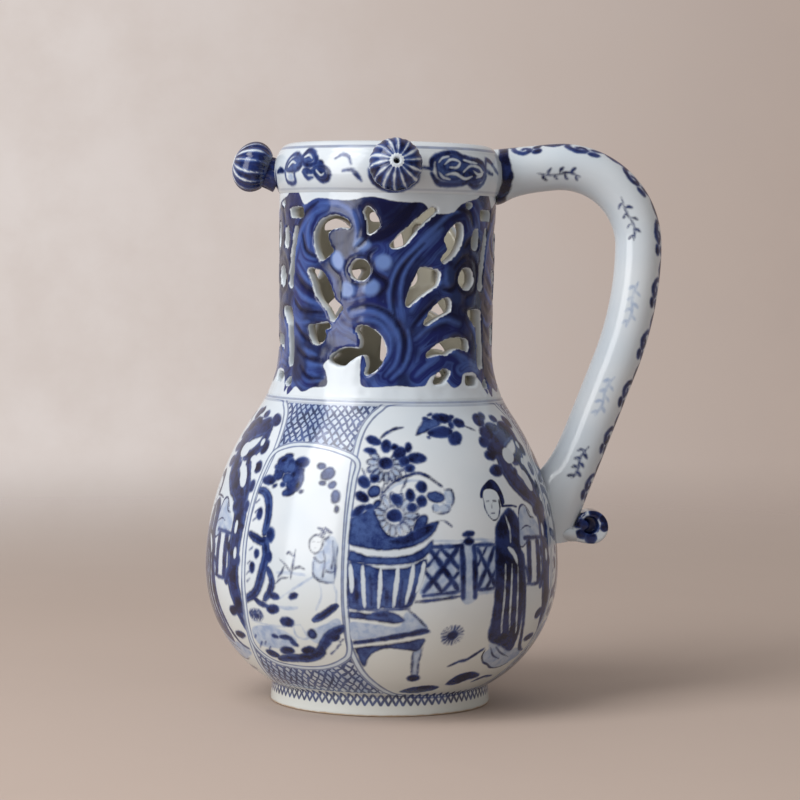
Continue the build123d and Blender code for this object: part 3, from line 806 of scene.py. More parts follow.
def drawFlowers(skin):
    for ring in flowers["petalRings"]:
        skin.petals(*ring)
    for touch in flowers["paleTouches"]:
        skin.dab("pale", *touch)
    for line, width in flowers["paleLines"]:
        skin.stroke("pale", line, width)
    for touch in flowers["midTouches"]:
        skin.dab("mid", *touch)
    for line, width in flowers["midLines"]:
        skin.stroke("mid", line, width)
    for touch in flowers["darkTouches"]:
        skin.dab("dark", *touch)


def drawPlanter(skin):
    for name in ("mouth", "band", "body", "shadow"):
        skin.fill("mid", planter[name])
    skin.fill("dark", planter["mouthShade"])
    for line in planter["ribs"]:
        skin.stroke("bare", line, planter["ribWidth"])
    for line in planter["shades"]:
        skin.stroke("dark", line, planter["shadeWidth"])
    skin.stroke("dark", planter["footLine"], planter["lineWidth"])
    skin.dab("dark", *planter["shadowCore"])
    skin.fill("pale", table["top"])
    skin.fill("dark", table["edge"])
    skin.fill("mid", table["apron"])
    skin.fill("pale", table["leg"])
    for line in table["legEdges"] + [table["backEdge"]]:
        skin.stroke("mid", line, table["lineWidth"])
    skin.dab("dark", *table["foot"])


def drawFence(skin):
    for line, width, layer in fence["rails"]:
        skin.stroke(layer, line, width, fence["railTaper"])
    for lattice in fence["lattices"]:
        skin.fill("pale", lattice)
    for line, width in fence["bars"]:
        skin.stroke("dark", line, width, fence["barTaper"])
    skin.fill("pale", fence["post"])
    for touch in fence["cap"]:
        skin.dab("dark", *touch)
    for line, width in fence["postBars"]:
        skin.stroke("dark", line, width, fence["barTaper"])
    for line, width in tree["fence"]:
        skin.stroke("dark", line, width, fence["railTaper"])


def drawLady(skin):
    skin.fill("dark", lady["robe"])
    skin.fill("pale", lady["sleeve"])
    skin.fill("pale", lady["train"])
    for line, width in lady["robeShades"]:
        skin.stroke("dark", line, width)
    for line, width in lady["folds"]:
        skin.stroke("bare", line, width * lady["foldWeight"])
    skin.stroke("bare", *lady["sash"])
    for line, width in lady["sleeveLines"] + lady["trainLines"]:
        skin.stroke("ink", line, width)
    skin.dab("bare", *lady["face"])
    skin.fill("ink", lady["hair"])
    skin.stroke("ink", lady["faceLine"], *lady["faceBrush"])
    for line, width in lady["features"] + [lady["ribbon"]]:
        skin.stroke("ink", line, width, lady["featureTaper"])


def drawTree(skin):
    for line, width, taper in tree["boughs"]:
        for layer, share in tree["brushes"]:
            skin.stroke(layer, line, width * share, taper)
    for line, width in tree["shades"]:
        skin.stroke("dark", line, width)
    for touch in tree["leaves"]:
        skin.dab("dark", *touch)
    for touch in tree["gaps"]:
        skin.dab("bare", *touch)
    skin.fill("mid", spray["wing"])
    for touch in spray["leaves"]:
        skin.dab("dark", *touch)
    skin.stroke("mid", *spray["stem"])
    for bank in ground["darkBanks"]:
        skin.fill("dark", bank)
    for line, width in ground["darkLines"]:
        skin.stroke("dark", line, width)
    drawTuft(skin, ground["tuft"])


def drawGarden(skin):
    for wash in garden["paleWashes"]:
        skin.fill("pale", wash)
    for touch in garden["midTouches"]:
        skin.dab("mid", *touch)
    for touch in garden["darkTouches"]:
        skin.dab("dark", *touch)
    for name, brushes in (("rock", "rockBrushes"), ("banks", "bankBrushes")):
        for line, width in garden[name]:
            for layer, share, taper in garden[brushes]:
                skin.stroke(layer, line, width * share, taper)
    for line, width in garden["paleLines"]:
        skin.stroke("pale", line, width)
    for line in garden["twigs"]:
        skin.stroke("mid", line, garden["lineWidth"])
    for place in garden["bark"] + garden["scratches"]:
        skin.stroke("dark", garden["scratch"] + place, garden["lineWidth"])
    drawTuft(skin, garden["tuft"])
    skin.fill("pale", child["robe"])
    skin.stroke("mid", child["headLine"], *child["headBrush"])
    for line, width in child["hair"] + child["lines"] + child["features"]:
        skin.stroke("mid", line, width)


def bodySkin(places, centre):
    angle = np.arctan2(places[:, 1], places[:, 0])
    centre, repeat = math.radians(panels[centre]), math.radians(panels["repeat"])
    return Skin(angle, places[:, 2], centre, repeat, panels["unit"], wallRadius, wallRise)


def paintBody(mesh):
    places = meshPlaces(mesh)
    outside = np.hypot(places[:, 0], places[:, 1]) > wallRadius(places[:, 2]) - panels["paintDepth"]
    large, narrow = bodySkin(places, "largeCentre"), bodySkin(places, "narrowCentre")
    drawTree(large)
    drawPlanter(large)
    drawFence(large)
    drawFlowers(large)
    drawLady(large)
    drawGarden(narrow)
    for skin, name, shape in ((large, "largeEdge", largePanel), (narrow, "narrowEdge", narrowPanel)):
        near, distance = skin.outline(shape["outline"])
        edge = np.full(len(places), panels["edgeReach"])
        edge[near] = np.clip(distance, -panels["edgeReach"], panels["edgeReach"])
        saveLayer(mesh, name, edge)
        for field in skin.fields.values():
            np.maximum(field, edge + panels["margin"], out=field)
    large.merge(narrow)
    for field in large.fields.values():
        field[~outside] = paint["far"]
    large.store(mesh)


# body: a lower and an upper bowl, each turned from its half section
def lowerProfile():
    edge, soft, tip = pot["footEdge"], pot["footSoft"], pot["footTip"]
    inner, outer = pot["footInner"], pot["footRadius"]
    profile = [(0, pot["footRecess"])]
    profile += [(r, pot["footRecess"]) for r in np.linspace(4, inner - 1, 6)]
    profile += [(inner, pot["footRecess"] - soft), (inner + edge, tip), (inner + edge + soft, 0)]
    profile += [(outer - edge, 0), (outer - soft / 2, tip)]
    heights = evenHeights(edge, pot["bellyHeight"], pot["row"])
    profile += list(zip(wallRadius(heights), heights))
    inside = np.linspace(pot["bellyHeight"], pot["floorHeight"] + pot["floorRound"], 14)
    reach = lowerCentre + np.sqrt((lowerArc - pot["wall"]) ** 2 - (pot["bellyHeight"] - inside) ** 2)
    profile += list(zip(reach, inside))
    profile += [(r, pot["floorHeight"]) for r in np.linspace(reach[-1] - 4, 4, 6)]
    return profile + [(0, pot["floorHeight"])]


def upperProfile():
    heights = evenHeights(pot["bellyHeight"], pot["neckBase"], pot["row"])
    profile = list(zip(wallRadius(heights), heights))
    inside = evenHeights(pot["bellyHeight"], pot["neckBase"], pot["innerRow"])[::-1]
    slope = np.gradient(wallRadius(inside), inside)
    lean = np.sqrt(1 + slope**2)
    reach = wallRadius(inside) - pot["wall"] / lean
    drop = np.clip(inside + slope * pot["wall"] / lean, pot["bellyHeight"], pot["neckBase"])
    reach[0], drop[0] = wallRadius(pot["neckBase"]) - pot["wall"], pot["neckBase"]
    return profile + list(zip(reach, drop))


lowerTurned = lathe(lowerProfile(), pot["columns"], False)
upperTurned = lathe(upperProfile(), pot["columns"])
lowerBody = makePiece("bodyLower", lowerTurned, ["lower_body"])
upperBody = makePiece("bodyUpper", upperTurned, ["upper_body"])
for piece in (lowerBody, upperBody):
    paintBody(piece.data)
print("body painted")

# glaze and cobalt colours, shared by all the painted pieces
colours = {
    "glaze": tint(203, 210, 216), "glazeCool": tint(192, 202, 211), "pale": tint(144, 161, 190),
    "mid": tint(30, 46, 98), "midLight": tint(64, 86, 138), "dark": tint(7, 11, 42),
    "darkLight": tint(31, 46, 98), "clay": tint(170, 146, 120), "glazeWarm": tint(208, 211, 205),
    "roughness": 0.11, "ripple": 0.00004,
}
body = {"trellisCells": 108, "trellisPitch": 3.4, "chainCells": 92, "chainMiddle": 6.5, "chainHalf": 2.3}


def glazeBase(board, place):
    cloud = board.noise(place, 28.0)
    return board.mix(board.fade(cloud, 0.7, 0.35), colours["glaze"], colours["glazeCool"])


def brushed(board, colour, name, pigment, edge, wobble):
    # one layer of paint over the colour below it
    field = board.layer(name + "Paint") + wobble
    return board.mix(board.fade(field, -edge, edge), colour, pigment)


def pigments(board, place):
    pool = board.fade(board.noise(place, 170.0, 5.0, 0.65), 0.36, 0.64)
    mid = board.mix(pool, colours["midLight"], colours["mid"])
    dark = board.mix(pool, colours["darkLight"], colours["dark"])
    return mid, dark


def glazed(board, colour, place, roughness=colours["roughness"], depth=colours["ripple"]):
    ripple = board.noise(place, 140.0, 1.0)
    shine = board.noise(place, 60.0)
    return board.finish(colour, roughness + shine * 0.05, ripple, depth)


def layers(board, colour, place):
    mid, dark = pigments(board, place)
    wobble = (board.noise(place, 230.0, 2.0) - 0.5) * 1.1 + (board.noise(place, 640.0, 2.0) - 0.5) * 0.5
    thin = board.fade(board.noise(place, 320.0, 3.0), 0.3, 0.7)
    wash = board.mix(thin * 0.6, colours["pale"], colours["glazeCool"])
    colour = brushed(board, colour, "pale", wash, 0.55, wobble)
    inner = board.fade(board.layer("midPaint") + wobble, -1.5, -0.3)
    colour = brushed(board, colour, "mid", board.mix(inner * 0.75 + 0.25, dark, mid), 0.6, wobble)
    colour = brushed(board, colour, "dark", mid, 0.6, wobble - 0.15)
    heart = board.fade(board.layer("darkPaint") + wobble, -1.1, 0.25)
    colour = board.mix(heart, colour, dark)
    colour = brushed(board, colour, "bare", colours["glazeCool"], 0.4, wobble * 0.7)
    return brushed(board, colour, "ink", dark, 0.3, wobble * 0.4)


def bodyMaterial():
    board = newBoard("paintedBody")
    place = board.place()
    x, y, z = board.axes(place)
    turn = board.math("ARCTAN2", y, x) / (2 * math.pi)
    height = z / mm
    mid, dark = pigments(board, place)
    colour = board.mix(board.fade(height, 18, 66) * 0.8, glazeBase(board, place), colours["glazeWarm"])

    # trellis outside the panels
    large, narrow = board.layer("largeEdge"), board.layer("narrowEdge")
    outside = board.fade(board.math("MINIMUM", large, narrow), 2.3, 1.9)
    outside = outside * board.fade(height, 9.6, 9.2) * board.fade(height, 116.2, 116.8)
    hand = board.noise(place, 130.0, 2.0)
    otherHand = board.noise(place, 170.0, 2.0)
    press = (board.noise(place, 300.0, 2.0) - 0.5) * 0.3
    cells = turn * body["trellisCells"]
    rise = height / body["trellisPitch"]
    trellis = None
    for slant in (cells + rise + hand * 1.6, cells - rise + otherHand * 1.6):
        line = board.fade(abs(board.math("FRACT", slant) - 0.5) + press * 0.7, 0.1, 0.29)
        trellis = line if trellis is None else board.math("MAXIMUM", trellis, line)
    wash = board.fade(board.noise(place, 95.0, 3.0), 0.6, 0.42)
    colour = board.mix(outside * (wash * 0.55 + 0.42), colour, colours["pale"])
    colour = board.mix(outside * trellis * 0.9, colour, board.mix(wash * 0.6 + 0.15, mid, dark))

    # double lines round the panels
    for field in (large, narrow):
        band = board.fade(abs(field - 0.9), 0.8, 1.1)
        colour = board.mix(band * board.fade(height, 116.2, 117.4), colour, colours["glazeCool"])
        for gap in (0.1, 1.8):
            line = board.fade(abs(field - gap) + press, 0.12, 0.55) * board.fade(height, 117, 117.6)
            colour = board.mix(line * 0.7, colour, mid)
    colour = layers(board, colour, place)

    # chain of diamonds above the foot, and the lines under the neck
    cell = abs(board.math("FRACT", turn * body["chainCells"] + hand * 0.3) - 0.5) * 2
    lift = abs(height - body["chainMiddle"]) / body["chainHalf"]
    chain = board.fade(abs(cell + lift - 0.9) + press, 0.2, 0.62) * board.fade(lift, 0.95, 1.2)
    colour = board.mix(chain * 0.92, colour, board.mix(0.5, mid, dark))
    for level, tone in ((118.0, 0.55), (116.9, 0.35)):
        line = board.fade(abs(height - level), 0.25, 0.6)
        colour = board.mix(line * tone, colour, mid)

    # bare clay at the foot's edge
    clay = board.fade(height + board.noise(place, 260.0) * 0.9, 0.75, 1.5)
    colour = board.mix(clay, colour, colours["clay"])
    return glazed(board, colour, place, clay * 0.5 + colours["roughness"])


paintedBody = bodyMaterial()
for piece in (lowerBody, upperBody):
    piece.data.materials.append(paintedBody)

# pierced neck: a copy of the carved solid, softened and turned true again
neck = {
    "voxel": 0.71, "rounds": 2, "trim": 0.8, "groove": 0.2, "unit": 41.2, "centre": -90.0,
    "roughness": 0.17, "ripple": 0.0006, "facing": (0.8, 0.95), "snap": 1.2,
    "edgeDepth": (0.7, 2.5), "flowReach": 9.0, "reliefDepth": 0.3, "reliefGap": 0.8, "sharp": 50,
}
# neck colours: navy, cobalt, blue and petal are the paint; inside is the inner wall's glaze, darker and
# warmer as painted shade
neckColours = {
    "navy": tint(10, 13, 46), "cobalt": tint(24, 34, 94), "blue": tint(66, 92, 156),
    "petal": tint(98, 124, 178), "inside": tint(178, 168, 142),
}
neckPaint = {
    "wash": [
        (-43.2, 192.8), (-43.2, 125), (-38, 122.6), (-33.6, 120.8), (-29, 122.8), (-24, 123.2),
        (-24.6, 128), (-26.4, 131.4), (-21, 134.6), (-12, 138), (-11.4, 130), (-10.4, 124), (-5, 123.4),
        (2, 124), (8, 123.6), (12.4, 124.2), (15, 127.4), (20, 129), (21.6, 125.6), (24.4, 123.2),
        (28, 125), (30, 128.4), (36, 128.6), (39, 125.6), (43.2, 125), (43.2, 192.8), (36, 194),
        (28, 192), (23.4, 188.8), (15, 188.4), (11, 192), (2, 192.2), (-8, 194), (-18, 192.6),
        (-30, 193.4), (-37, 191),
    ],
    "petals": [
        (-3.3, 169.8, 2.9, 2.9, 0), (-7.8, 160.3, 3.2, 2.9, 20), (-17, 159.4, 3.2, 3.0, -20),
        (-21, 170, 2.6, 3.6, 10), (-11.4, 176.2, 3.2, 2.2, 0),
    ],
    "dullPetals": [
        (22.6, 165, 2.4, 3.8, 0), (26, 172.4, 3.0, 2.2, 30), (36, 172.4, 3.0, 2.2, -30),
        (39.6, 163, 2.3, 3.6, 0), (34.6, 155.8, 3.0, 2.2, 25), (26.4, 157, 2.9, 2.3, -25),
    ],
    "ribs": [
        ([(-44, 152), (-44.6, 162), (-42.6, 172), (-38.6, 181), (-33, 187), (-26, 190.4)], 1.5),
        ([(-41, 168.4), (-36, 163.4), (-29.6, 159.8)], 1.6),
        ([(-43, 160.4), (-37, 156.2), (-29, 153.6)], 1.7),
        ([(-44, 150.4), (-40, 146.8), (-34, 147)], 1.4),
        ([(-42, 140.4), (-37, 136.6), (-30, 134.8)], 1.5),
        ([(-40, 134.6), (-34, 131.4), (-27, 130.8)], 1.4),
        ([(-31.4, 127), (-28, 125.4), (-25.4, 126.6)], 1.1),
        ([(-34.4, 175), (-35, 182), (-31, 188.6)], 1.3),
        ([(-30, 191), (-22, 191.4), (-16, 188.6), (-13.6, 183), (-14, 178)], 1.5),
        ([(-38, 176), (-35.6, 172), (-31, 170.6)], 1.1),
        ([(1, 148), (-1, 158), (1.6, 167.4), (8, 175), (15, 182), (22, 188), (28, 189.6)], 1.6),
        ([(4.4, 148), (3, 158), (5, 167), (11, 175), (19, 182.6)], 1.1),
        ([(-15, 150.4), (-8, 151.4), (-1.4, 148), (2.8, 141), (2, 133), (-2, 127.6)], 1.4),
        ([(-11, 148.4), (-5, 147.4), (-0.6, 142), (-0.6, 136), (-4, 130.4)], 1.1),
        ([(6, 145), (7, 138), (4.6, 131), (0, 126.4)], 1.2),
        ([(7.4, 152), (11, 158), (16.6, 161.8), (21, 163)], 1.2),
        ([(10, 146.4), (16, 152), (23, 154)], 1.3),
        ([(9, 141.4), (15, 146.4), (22, 148.8), (28, 147.4)], 1.2),
        ([(14, 133.8), (20, 136.8), (26, 136.6), (31, 133.6)], 1.1),
        ([(9, 127.6), (13, 131), (18, 134.4)], 1.1), ([(28.6, 130), (33, 131.8), (38, 130.6)], 1.1),
        ([(-4, 182), (2, 186), (6, 190.4)], 1.2), ([(33, 149), (37, 144), (39, 138)], 1.2),
        ([(40, 150), (41.6, 156)], 1.2),
    ],
    "furrows": [
        ([(-46, 150), (-47, 160), (-45, 172), (-41, 182), (-36, 188), (-30, 192)], 1.4),
        ([(-38, 180), (-36, 174), (-30, 171)], 1.4), ([(-42, 165), (-36, 160), (-28, 156.6)], 1.3),
        ([(-44, 156), (-38, 151.4), (-27, 150.6)], 1.6), ([(-42, 146), (-36, 141), (-30, 139.4)], 1.5),
        ([(-41, 137), (-35, 133.6), (-27, 132.6)], 1.1),
        ([(-38, 130.4), (-33, 126.4), (-26, 126)], 1.3),
        ([(-12, 190), (-9.6, 184), (-10, 178.4), (-14, 174.6)], 1.6),
        ([(-8, 178), (-2, 181), (4, 187), (9, 193)], 3.6), ([(-10, 191), (-8.4, 187), (-7, 183)], 1.0),
        ([(-16, 152), (-8, 153.6), (0, 150), (5, 142), (4.4, 133)], 1.2),
        ([(-5, 157), (-2, 162), (-7, 166), (-9, 172), (-6, 175)], 1.8),
        ([(-24, 168), (-20, 163), (-20, 155)], 1.4),
        ([(2, 146), (0.6, 154), (1.4, 163), (5, 170), (12, 177)], 1.0),
        ([(8, 146), (12, 151), (17, 156)], 1.2), ([(20, 160), (24, 160), (27, 163)], 1.6),
        ([(25, 168), (29, 172), (34, 172), (37, 167), (36, 160), (31, 157)], 1.6),
        ([(30, 152), (36, 152), (40, 147)], 1.6), ([(26, 190), (32, 189), (34.6, 184)], 2.0),
        ([(30, 176), (34, 179), (39, 178)], 2.2), ([(22, 141), (27, 142.4), (32, 140)], 1.2),
    ],
    "ring": [(-12.2, 166.8, 5.4), (31.4, 164.1, 5.4)],
    "ribTaper": 0.8, "furrowTaper": 0.7, "ringWidth": 1.2, "furrowWeight": 1.35,
    "relief": (("dark", 0.5, -1.0), ("bare", 0.5, 0.6), ("pale", 0.6, 0.8)),
    # navy: large dark washes, painted shade that makes one side of each repeat of the neck darker
    "navy": [
        [(19, 152), (23, 158), (21, 167), (25, 176), (33, 180), (42, 178), (43, 160), (40, 150), (31, 147)],
        [(-11, 181), (-4, 180), (3, 185), (6, 191), (-2, 193), (-10, 192)],
        [(-43, 127), (-38, 124), (-34, 130), (-37, 138), (-43, 141)],
    ],
}


def trueWall(places, normals):
    # smooth faces of the wall go back to its exact radius, inside and outside
    reach = np.hypot(places[:, 0], places[:, 1])
    facing = (places[:, 0] * normals[:, 0] + places[:, 1] * normals[:, 1]) / reach
    outer = wallRadius(places[:, 2])
    share = np.interp(np.abs(facing), neck["facing"], (0, 1))
    target = np.where(facing > 0, outer, outer - pot["wall"])
    close = np.abs(target - reach) < neck["snap"]
    return 1 + share * close * (target - reach) / reach


def neckPiece():
    bm = softCopy("pierced_neck", neck["voxel"])
    for level, side in ((pot["neckBase"] + neck["trim"], 1), (pot["neckTop"] - neck["trim"], -1)):
        bmesh.ops.bisect_plane(
            bm, geom=bm.verts[:] + bm.edges[:] + bm.faces[:], dist=1e-7,
            plane_co=(0, 0, level * mm), plane_no=(0, 0, side), clear_inner=True,
        )
    for _ in range(neck["rounds"]):
        soften(bm, [v for v in bm.verts if not v.is_boundary])
    middle = (pot["neckBase"] + pot["neckTop"]) / 2 * mm
    for upper, height in ((False, pot["neckBase"]), (True, pot["neckTop"])):
        edges = [e for e in bm.edges if e.is_boundary and (e.verts[0].co.z > middle) == upper]
        made = bmesh.ops.extrude_edge_only(bm, edges=edges)["geom"]
        for vert in (item for item in made if isinstance(item, bmesh.types.BMVert)):
            vert.co.z = height * mm
        rings = [item for item in made if isinstance(item, bmesh.types.BMEdge)]
        bmesh.ops.bridge_loops(bm, edges=rings)
    bmesh.ops.recalc_face_normals(bm, faces=bm.faces[:])
    bm.normal_update()
    places = np.array([v.co for v in bm.verts]) / mm
    scale = trueWall(places, np.array([v.normal for v in bm.verts]))
    for vert, factor in zip(bm.verts, scale):
        vert.co.x *= factor
        vert.co.y *= factor
    return makePiece("neckPierced", bm, ["pierced_neck"], neck["sharp"])


def neckSkin(places, far):
    angle = np.arctan2(places[:, 1], places[:, 0])
    centre, repeat = math.radians(neck["centre"]), math.radians(panels["repeat"])
    return Skin(angle, places[:, 2], centre, repeat, neck["unit"], wallRadius, wallRise, far)


def paintNeck(piece):
    mesh = piece.data
    places = meshPlaces(mesh)
    reach = np.hypot(places[:, 0], places[:, 1])
    depth = wallRadius(places[:, 2]) - reach
    skin = neckSkin(places, paint["far"])
    skin.fill("mid", neckPaint["wash"])
    for touch in neckPaint["petals"]:
        skin.dab("pale", *touch)
    for touch in neckPaint["dullPetals"]:
        skin.dab("bare", *touch)
    for line, width in neckPaint["ribs"]:
        skin.stroke("bare", line, width, neckPaint["ribTaper"])
    for line, width in neckPaint["furrows"]:
        skin.stroke("dark", line, width * neckPaint["furrowWeight"], neckPaint["furrowTaper"])
    # the navy washes are painted shade, laid on the ink layer
    for wash in neckPaint["navy"]:
        skin.fill("ink", wash)
    for x, z, size in neckPaint["ring"]:
        turn = np.linspace(0, 2 * np.pi, 14)
        circle = np.stack([x + size * np.cos(turn), z + size * np.sin(turn)], 1)
        skin.stroke("dark", circle, neckPaint["ringWidth"], 0)

    # distance across the flow of the leaves, for the brush marks
    flow = neckSkin(places, neck["flowReach"])
    for line, _ in neckPaint["ribs"] + neckPaint["furrows"]:
        flow.stroke("pale", line, 0.0, 0.0)
    saveLayer(mesh, "flow", flow.fields["pale"])

    # distance from the carved edges, so that their rims stay white
    shallow, deep = neck["edgeDepth"]
    finder = KDTree(len(places))
    for index in np.nonzero((depth > shallow) & (depth < deep))[0]:
        finder.insert(places[index], int(index))
    finder.balance()
    gap = np.array([finder.find(place)[2] if d < shallow else 0.0 for place, d in zip(places, depth)])
    saveLayer(mesh, "rimGap", np.clip(gap, 0, 4))
    saveLayer(mesh, "depth", np.clip(depth, -1, 6))

    # low relief: furrows sink and ribs stand up a little
    outer = (depth < neck["reliefDepth"]) & (gap > neck["reliefGap"])
    relief = np.zeros(len(places))
    for layer, width, height in neckPaint["relief"]:
        relief += np.clip(width - skin.fields[layer], 0, 1) * height
    moved = places.copy()
    moved[:, :2] *= (1 + outer * relief * neck["groove"] / reach)[:, None]
    mesh.vertices.foreach_set("co", (moved * mm).ravel())
    mesh.update()
    skin.store(mesh)


def neckMaterial():
    board = newBoard("paintedNeck")
    place = board.place()
    colour = glazeBase(board, place)
    x, _, z = board.axes(place)
    wobble = (board.noise(place, 420.0, 2.0) - 0.5) * 0.7
    warp = board.noise(place, 60.0, 2.0) * 2.2
    across = board.layer("flow") * 0.55 + warp
    along = board.node("ShaderNodeCombineXYZ", {}, {0: across, 1: z * 60, 2: x * 40})
    streak = board.noise(along, 1.0, 2.0, 0.5)
    cobalt = board.mix(board.fade(streak, 0.7, 0.36) * 0.7, neckColours["cobalt"], neckColours["blue"])
    pool = board.noise(place, 60.0, 3.0)
    cobalt = board.mix(board.fade(pool, 0.64, 0.42) * 0.8, cobalt, neckColours["navy"])
    painted = brushed(board, cobalt, "bare", neckColours["blue"], 1.1, wobble)
    painted = brushed(board, painted, "pale", neckColours["petal"], 1.1, wobble)
    painted = brushed(board, painted, "dark", neckColours["navy"], 1.0, wobble)
    # painted shade: the navy washes darken the paint below them
    paintedShade = board.fade(board.layer("inkPaint") + wobble * 2, -1.8, 1.2)
    painted = board.mix(paintedShade * 0.75, painted, neckColours["navy"])
    cover = board.fade(board.layer("midPaint") + wobble, -0.3, 0.3)
    cover = cover * board.fade(board.layer("rimGap") + wobble, 0.95, 0.45)
    cover = cover * board.fade(board.layer("depth"), 0.4, 0.7)
    colour = board.mix(cover, colour, painted)
    # the inner wall is painted darker and warmer, painted shade of the glaze inside the neck
    inner = board.fade(board.layer("depth"), 4.6, 1.4)
    colour = board.mix(inner * 0.8, colour, neckColours["inside"])
    return glazed(board, colour, place, neck["roughness"], neck["ripple"])


pierced = neckPiece()
paintNeck(pierced)
pierced.data.materials.append(neckMaterial())
print("neck painted")

# hollow rim: the trough and the ring that covers it
rim = {"columns": 620, "row": 0.44, "unit": 44.2, "centre": -90.0, "coverRows": 34, "paintDepth": 1.5}
rimPaint = {
    "darkLines": [
        ([(-58, 203.4), (-54, 204), (-51, 203.6)], 1.5), ([(-55, 204.6), (-53, 203.4)], 1.6),
        ([(-50, 203), (-48, 208), (-44, 210), (-40, 208.6), (-39, 205.6), (-42, 203.6)], 1.1),
        ([(-49.6, 203.6), (-49, 200), (-46, 198.8), (-43, 199.6), (-43, 203)], 1.0),
        ([
            (-40, 208), (-37, 211), (-33.6, 210), (-31.4, 207), (-34, 205.6), (-37.6, 206.4),
            (-39, 208.6),
        ], 1.5),
        ([(-33, 204), (-30, 200.4), (-26.6, 200), (-25.4, 203), (-28, 205), (-31.6, 205)], 1.3),
        ([(-38, 203), (-35.6, 200.8), (-33, 201)], 1.0),
        ([(-23, 208), (-20.4, 209.4), (-17.6, 208.6), (-16.4, 206)], 0.8),
        ([(-19.6, 203.4), (-16, 203.6), (-13.8, 201.4), (-12.4, 199.8)], 1.1),
        ([(11, 205), (14, 204.6)], 1.4),
        ([(14, 204.4), (14.6, 208), (19, 210), (24, 211), (29, 209.6)], 1.5),
        ([(14, 203), (16.6, 199.8), (22, 199), (28, 199.4), (31.6, 201.4)], 1.4),
        ([(18, 209), (17.4, 206), (21, 204.4), (25, 206)], 1.1),
        ([(20, 203), (23, 201), (27, 201.8), (29, 204)], 1.1),
        ([(29, 209.6), (34, 208.6), (39, 207.6), (41, 204.4)], 1.6),
        ([(31, 200), (35, 198.6), (39, 199.4), (41, 203)], 1.4),
        ([(28, 205), (33, 203), (38, 204)], 1.2),
        ([(41, 206.6), (42.6, 209), (46, 208), (48.6, 205.8), (52, 204)], 1.1),
        ([(41, 205), (44.6, 203.8), (46.4, 203.6)], 0.9),
    ],
    "midTouches": [
        (-46.6, 205.6, 2.2, 1.6, 20), (-41, 205, 2.2, 1.8, 0), (-36, 203.4, 2.4, 1.4, 0),
        (-30, 206, 2.4, 1.6, 10), (-28.4, 202.4, 1.6, 1.4, 0), (24, 208.4, 3.6, 1.6, 0),
        (31, 206.6, 4.2, 2.0, 0), (36.6, 204.6, 3.4, 2.4, 0), (30, 201.6, 3.4, 1.2, 10),
        (19, 202, 2.0, 1.4, 0), (37, 201.2, 2.4, 1.2, 0),
    ],
    "paleTouches": [
        (-45.6, 201.4, 2.0, 1.3, 0), (-35.4, 208.4, 1.6, 1.2, -30), (-33, 203, 1.2, 0.8, 0),
        (22, 206.8, 1.6, 1.0, 0),
    ],
    "rings": ((212.6, 0.3, 0.75, 0.6), (196.9, 0.2, 0.6, 0.25)), "weight": 1.5, "taper": 0.4,
    "washes": [
        [
            (15.6, 204.4), (16.6, 208.6), (24, 210.6), (32, 209), (40, 207), (41, 203), (36, 199.4),
            (26, 199.4), (18, 200.6),
        ],
        [(-49, 203.4), (-46.6, 208), (-41, 209), (-38, 206), (-42, 203)],
        [(-33, 205), (-30, 200.6), (-26.4, 200.6), (-27, 204.4)],
        [(-40, 207.6), (-37, 210.4), (-32, 209), (-34, 206)],
    ],
    "darkTouches": [
        (22, 207.4, 2.6, 1.0, 15), (29.4, 207.6, 2.8, 1.1, -8), (36, 206.4, 2.6, 1.0, -10),
        (25, 203.6, 2.6, 1.0, 8), (33, 201.2, 2.8, 1.0, 5), (38.4, 202.6, 1.2, 1.6, 0),
        (19.4, 205.4, 1.2, 1.8, 10), (-45.4, 206.6, 1.6, 1.0, 20), (-36.4, 208.6, 1.6, 1.0, 0),
        (-29, 202.6, 1.5, 1.1, 0), (-40.8, 204.8, 1.4, 1.0, 0), (-33.6, 203, 1.5, 0.9, 0),
    ],
    "bareLines": [
        ([(19.4, 206.4), (22.6, 208.4), (26.4, 207.6), (25, 205.6), (21.6, 205.4)], 0.9),
        ([(28, 204), (31.6, 206.2), (36.6, 205.8), (38.4, 203.4), (35, 202)], 0.9),
        ([(20, 202.6), (24, 203.2), (28.6, 201.4), (32.6, 202.4)], 0.9),
        ([(28.4, 208.4), (32, 207.8), (35.6, 207.4)], 0.8),
        ([(17, 203.6), (19, 201.6), (22, 201)], 0.7), ([(33, 204.6), (36, 203.2), (39.4, 204.4)], 0.7),
        ([(17, 207), (19, 208.8), (22, 209.6)], 0.7), ([(-47.4, 205), (-45, 207), (-42.4, 206.4)], 0.8),
        ([(-38, 208.6), (-35.6, 209.4), (-33.4, 208)], 0.7),
        ([(-31, 203.6), (-29, 201.8), (-27.4, 202.6)], 0.7),
    ],
    "spoutTurns": (0.0, -90.0, 180.0), "ringBrush": (2.6, 0.5),
    "spoutRing": [(-9.2, 204), (-7.4, 199.4), (0, 196.6), (7.4, 199.4), (9.2, 204)],
}


def rimProfile():
    wall, inner, seam = pot["rimWall"], pot["rimInner"], pot["seamHeight"]
    floor = pot["neckTop"] + pot["rimFloor"]
    heights = np.linspace(pot["neckTop"], seam, round((seam - pot["neckTop"]) / rim["row"]))
    profile = list(zip(wallRadius(heights + 1e-6), heights))
    inside = np.linspace(seam, floor, 8)
    profile += list(zip(wallRadius(inside) - wall, inside))
    profile += [(inner + wall, floor), (inner + wall, seam), (inner, seam)]
    profile += [(inner, z) for z in np.linspace(seam - 2, floor + 0.6, 6)]
    profile += [(inner + 0.4, floor - 0.2), (pot["neckTopRadius"] - pot["wall"], pot["neckTop"])]
    return profile


def coverProfile():
    outer, inner, seam = pot["rimSeam"], pot["rimInner"], pot["seamHeight"]
    crown = ((outer + inner) / 2, pot["topHeight"])
    x, z, radius = bulgeArc((outer, seam), crown, (inner, seam))
    first = math.atan2(seam - z, outer - x)
    turns = np.linspace(first, math.pi - first, rim["coverRows"])
    return [(x + radius * math.cos(t), z + radius * math.sin(t)) for t in turns]


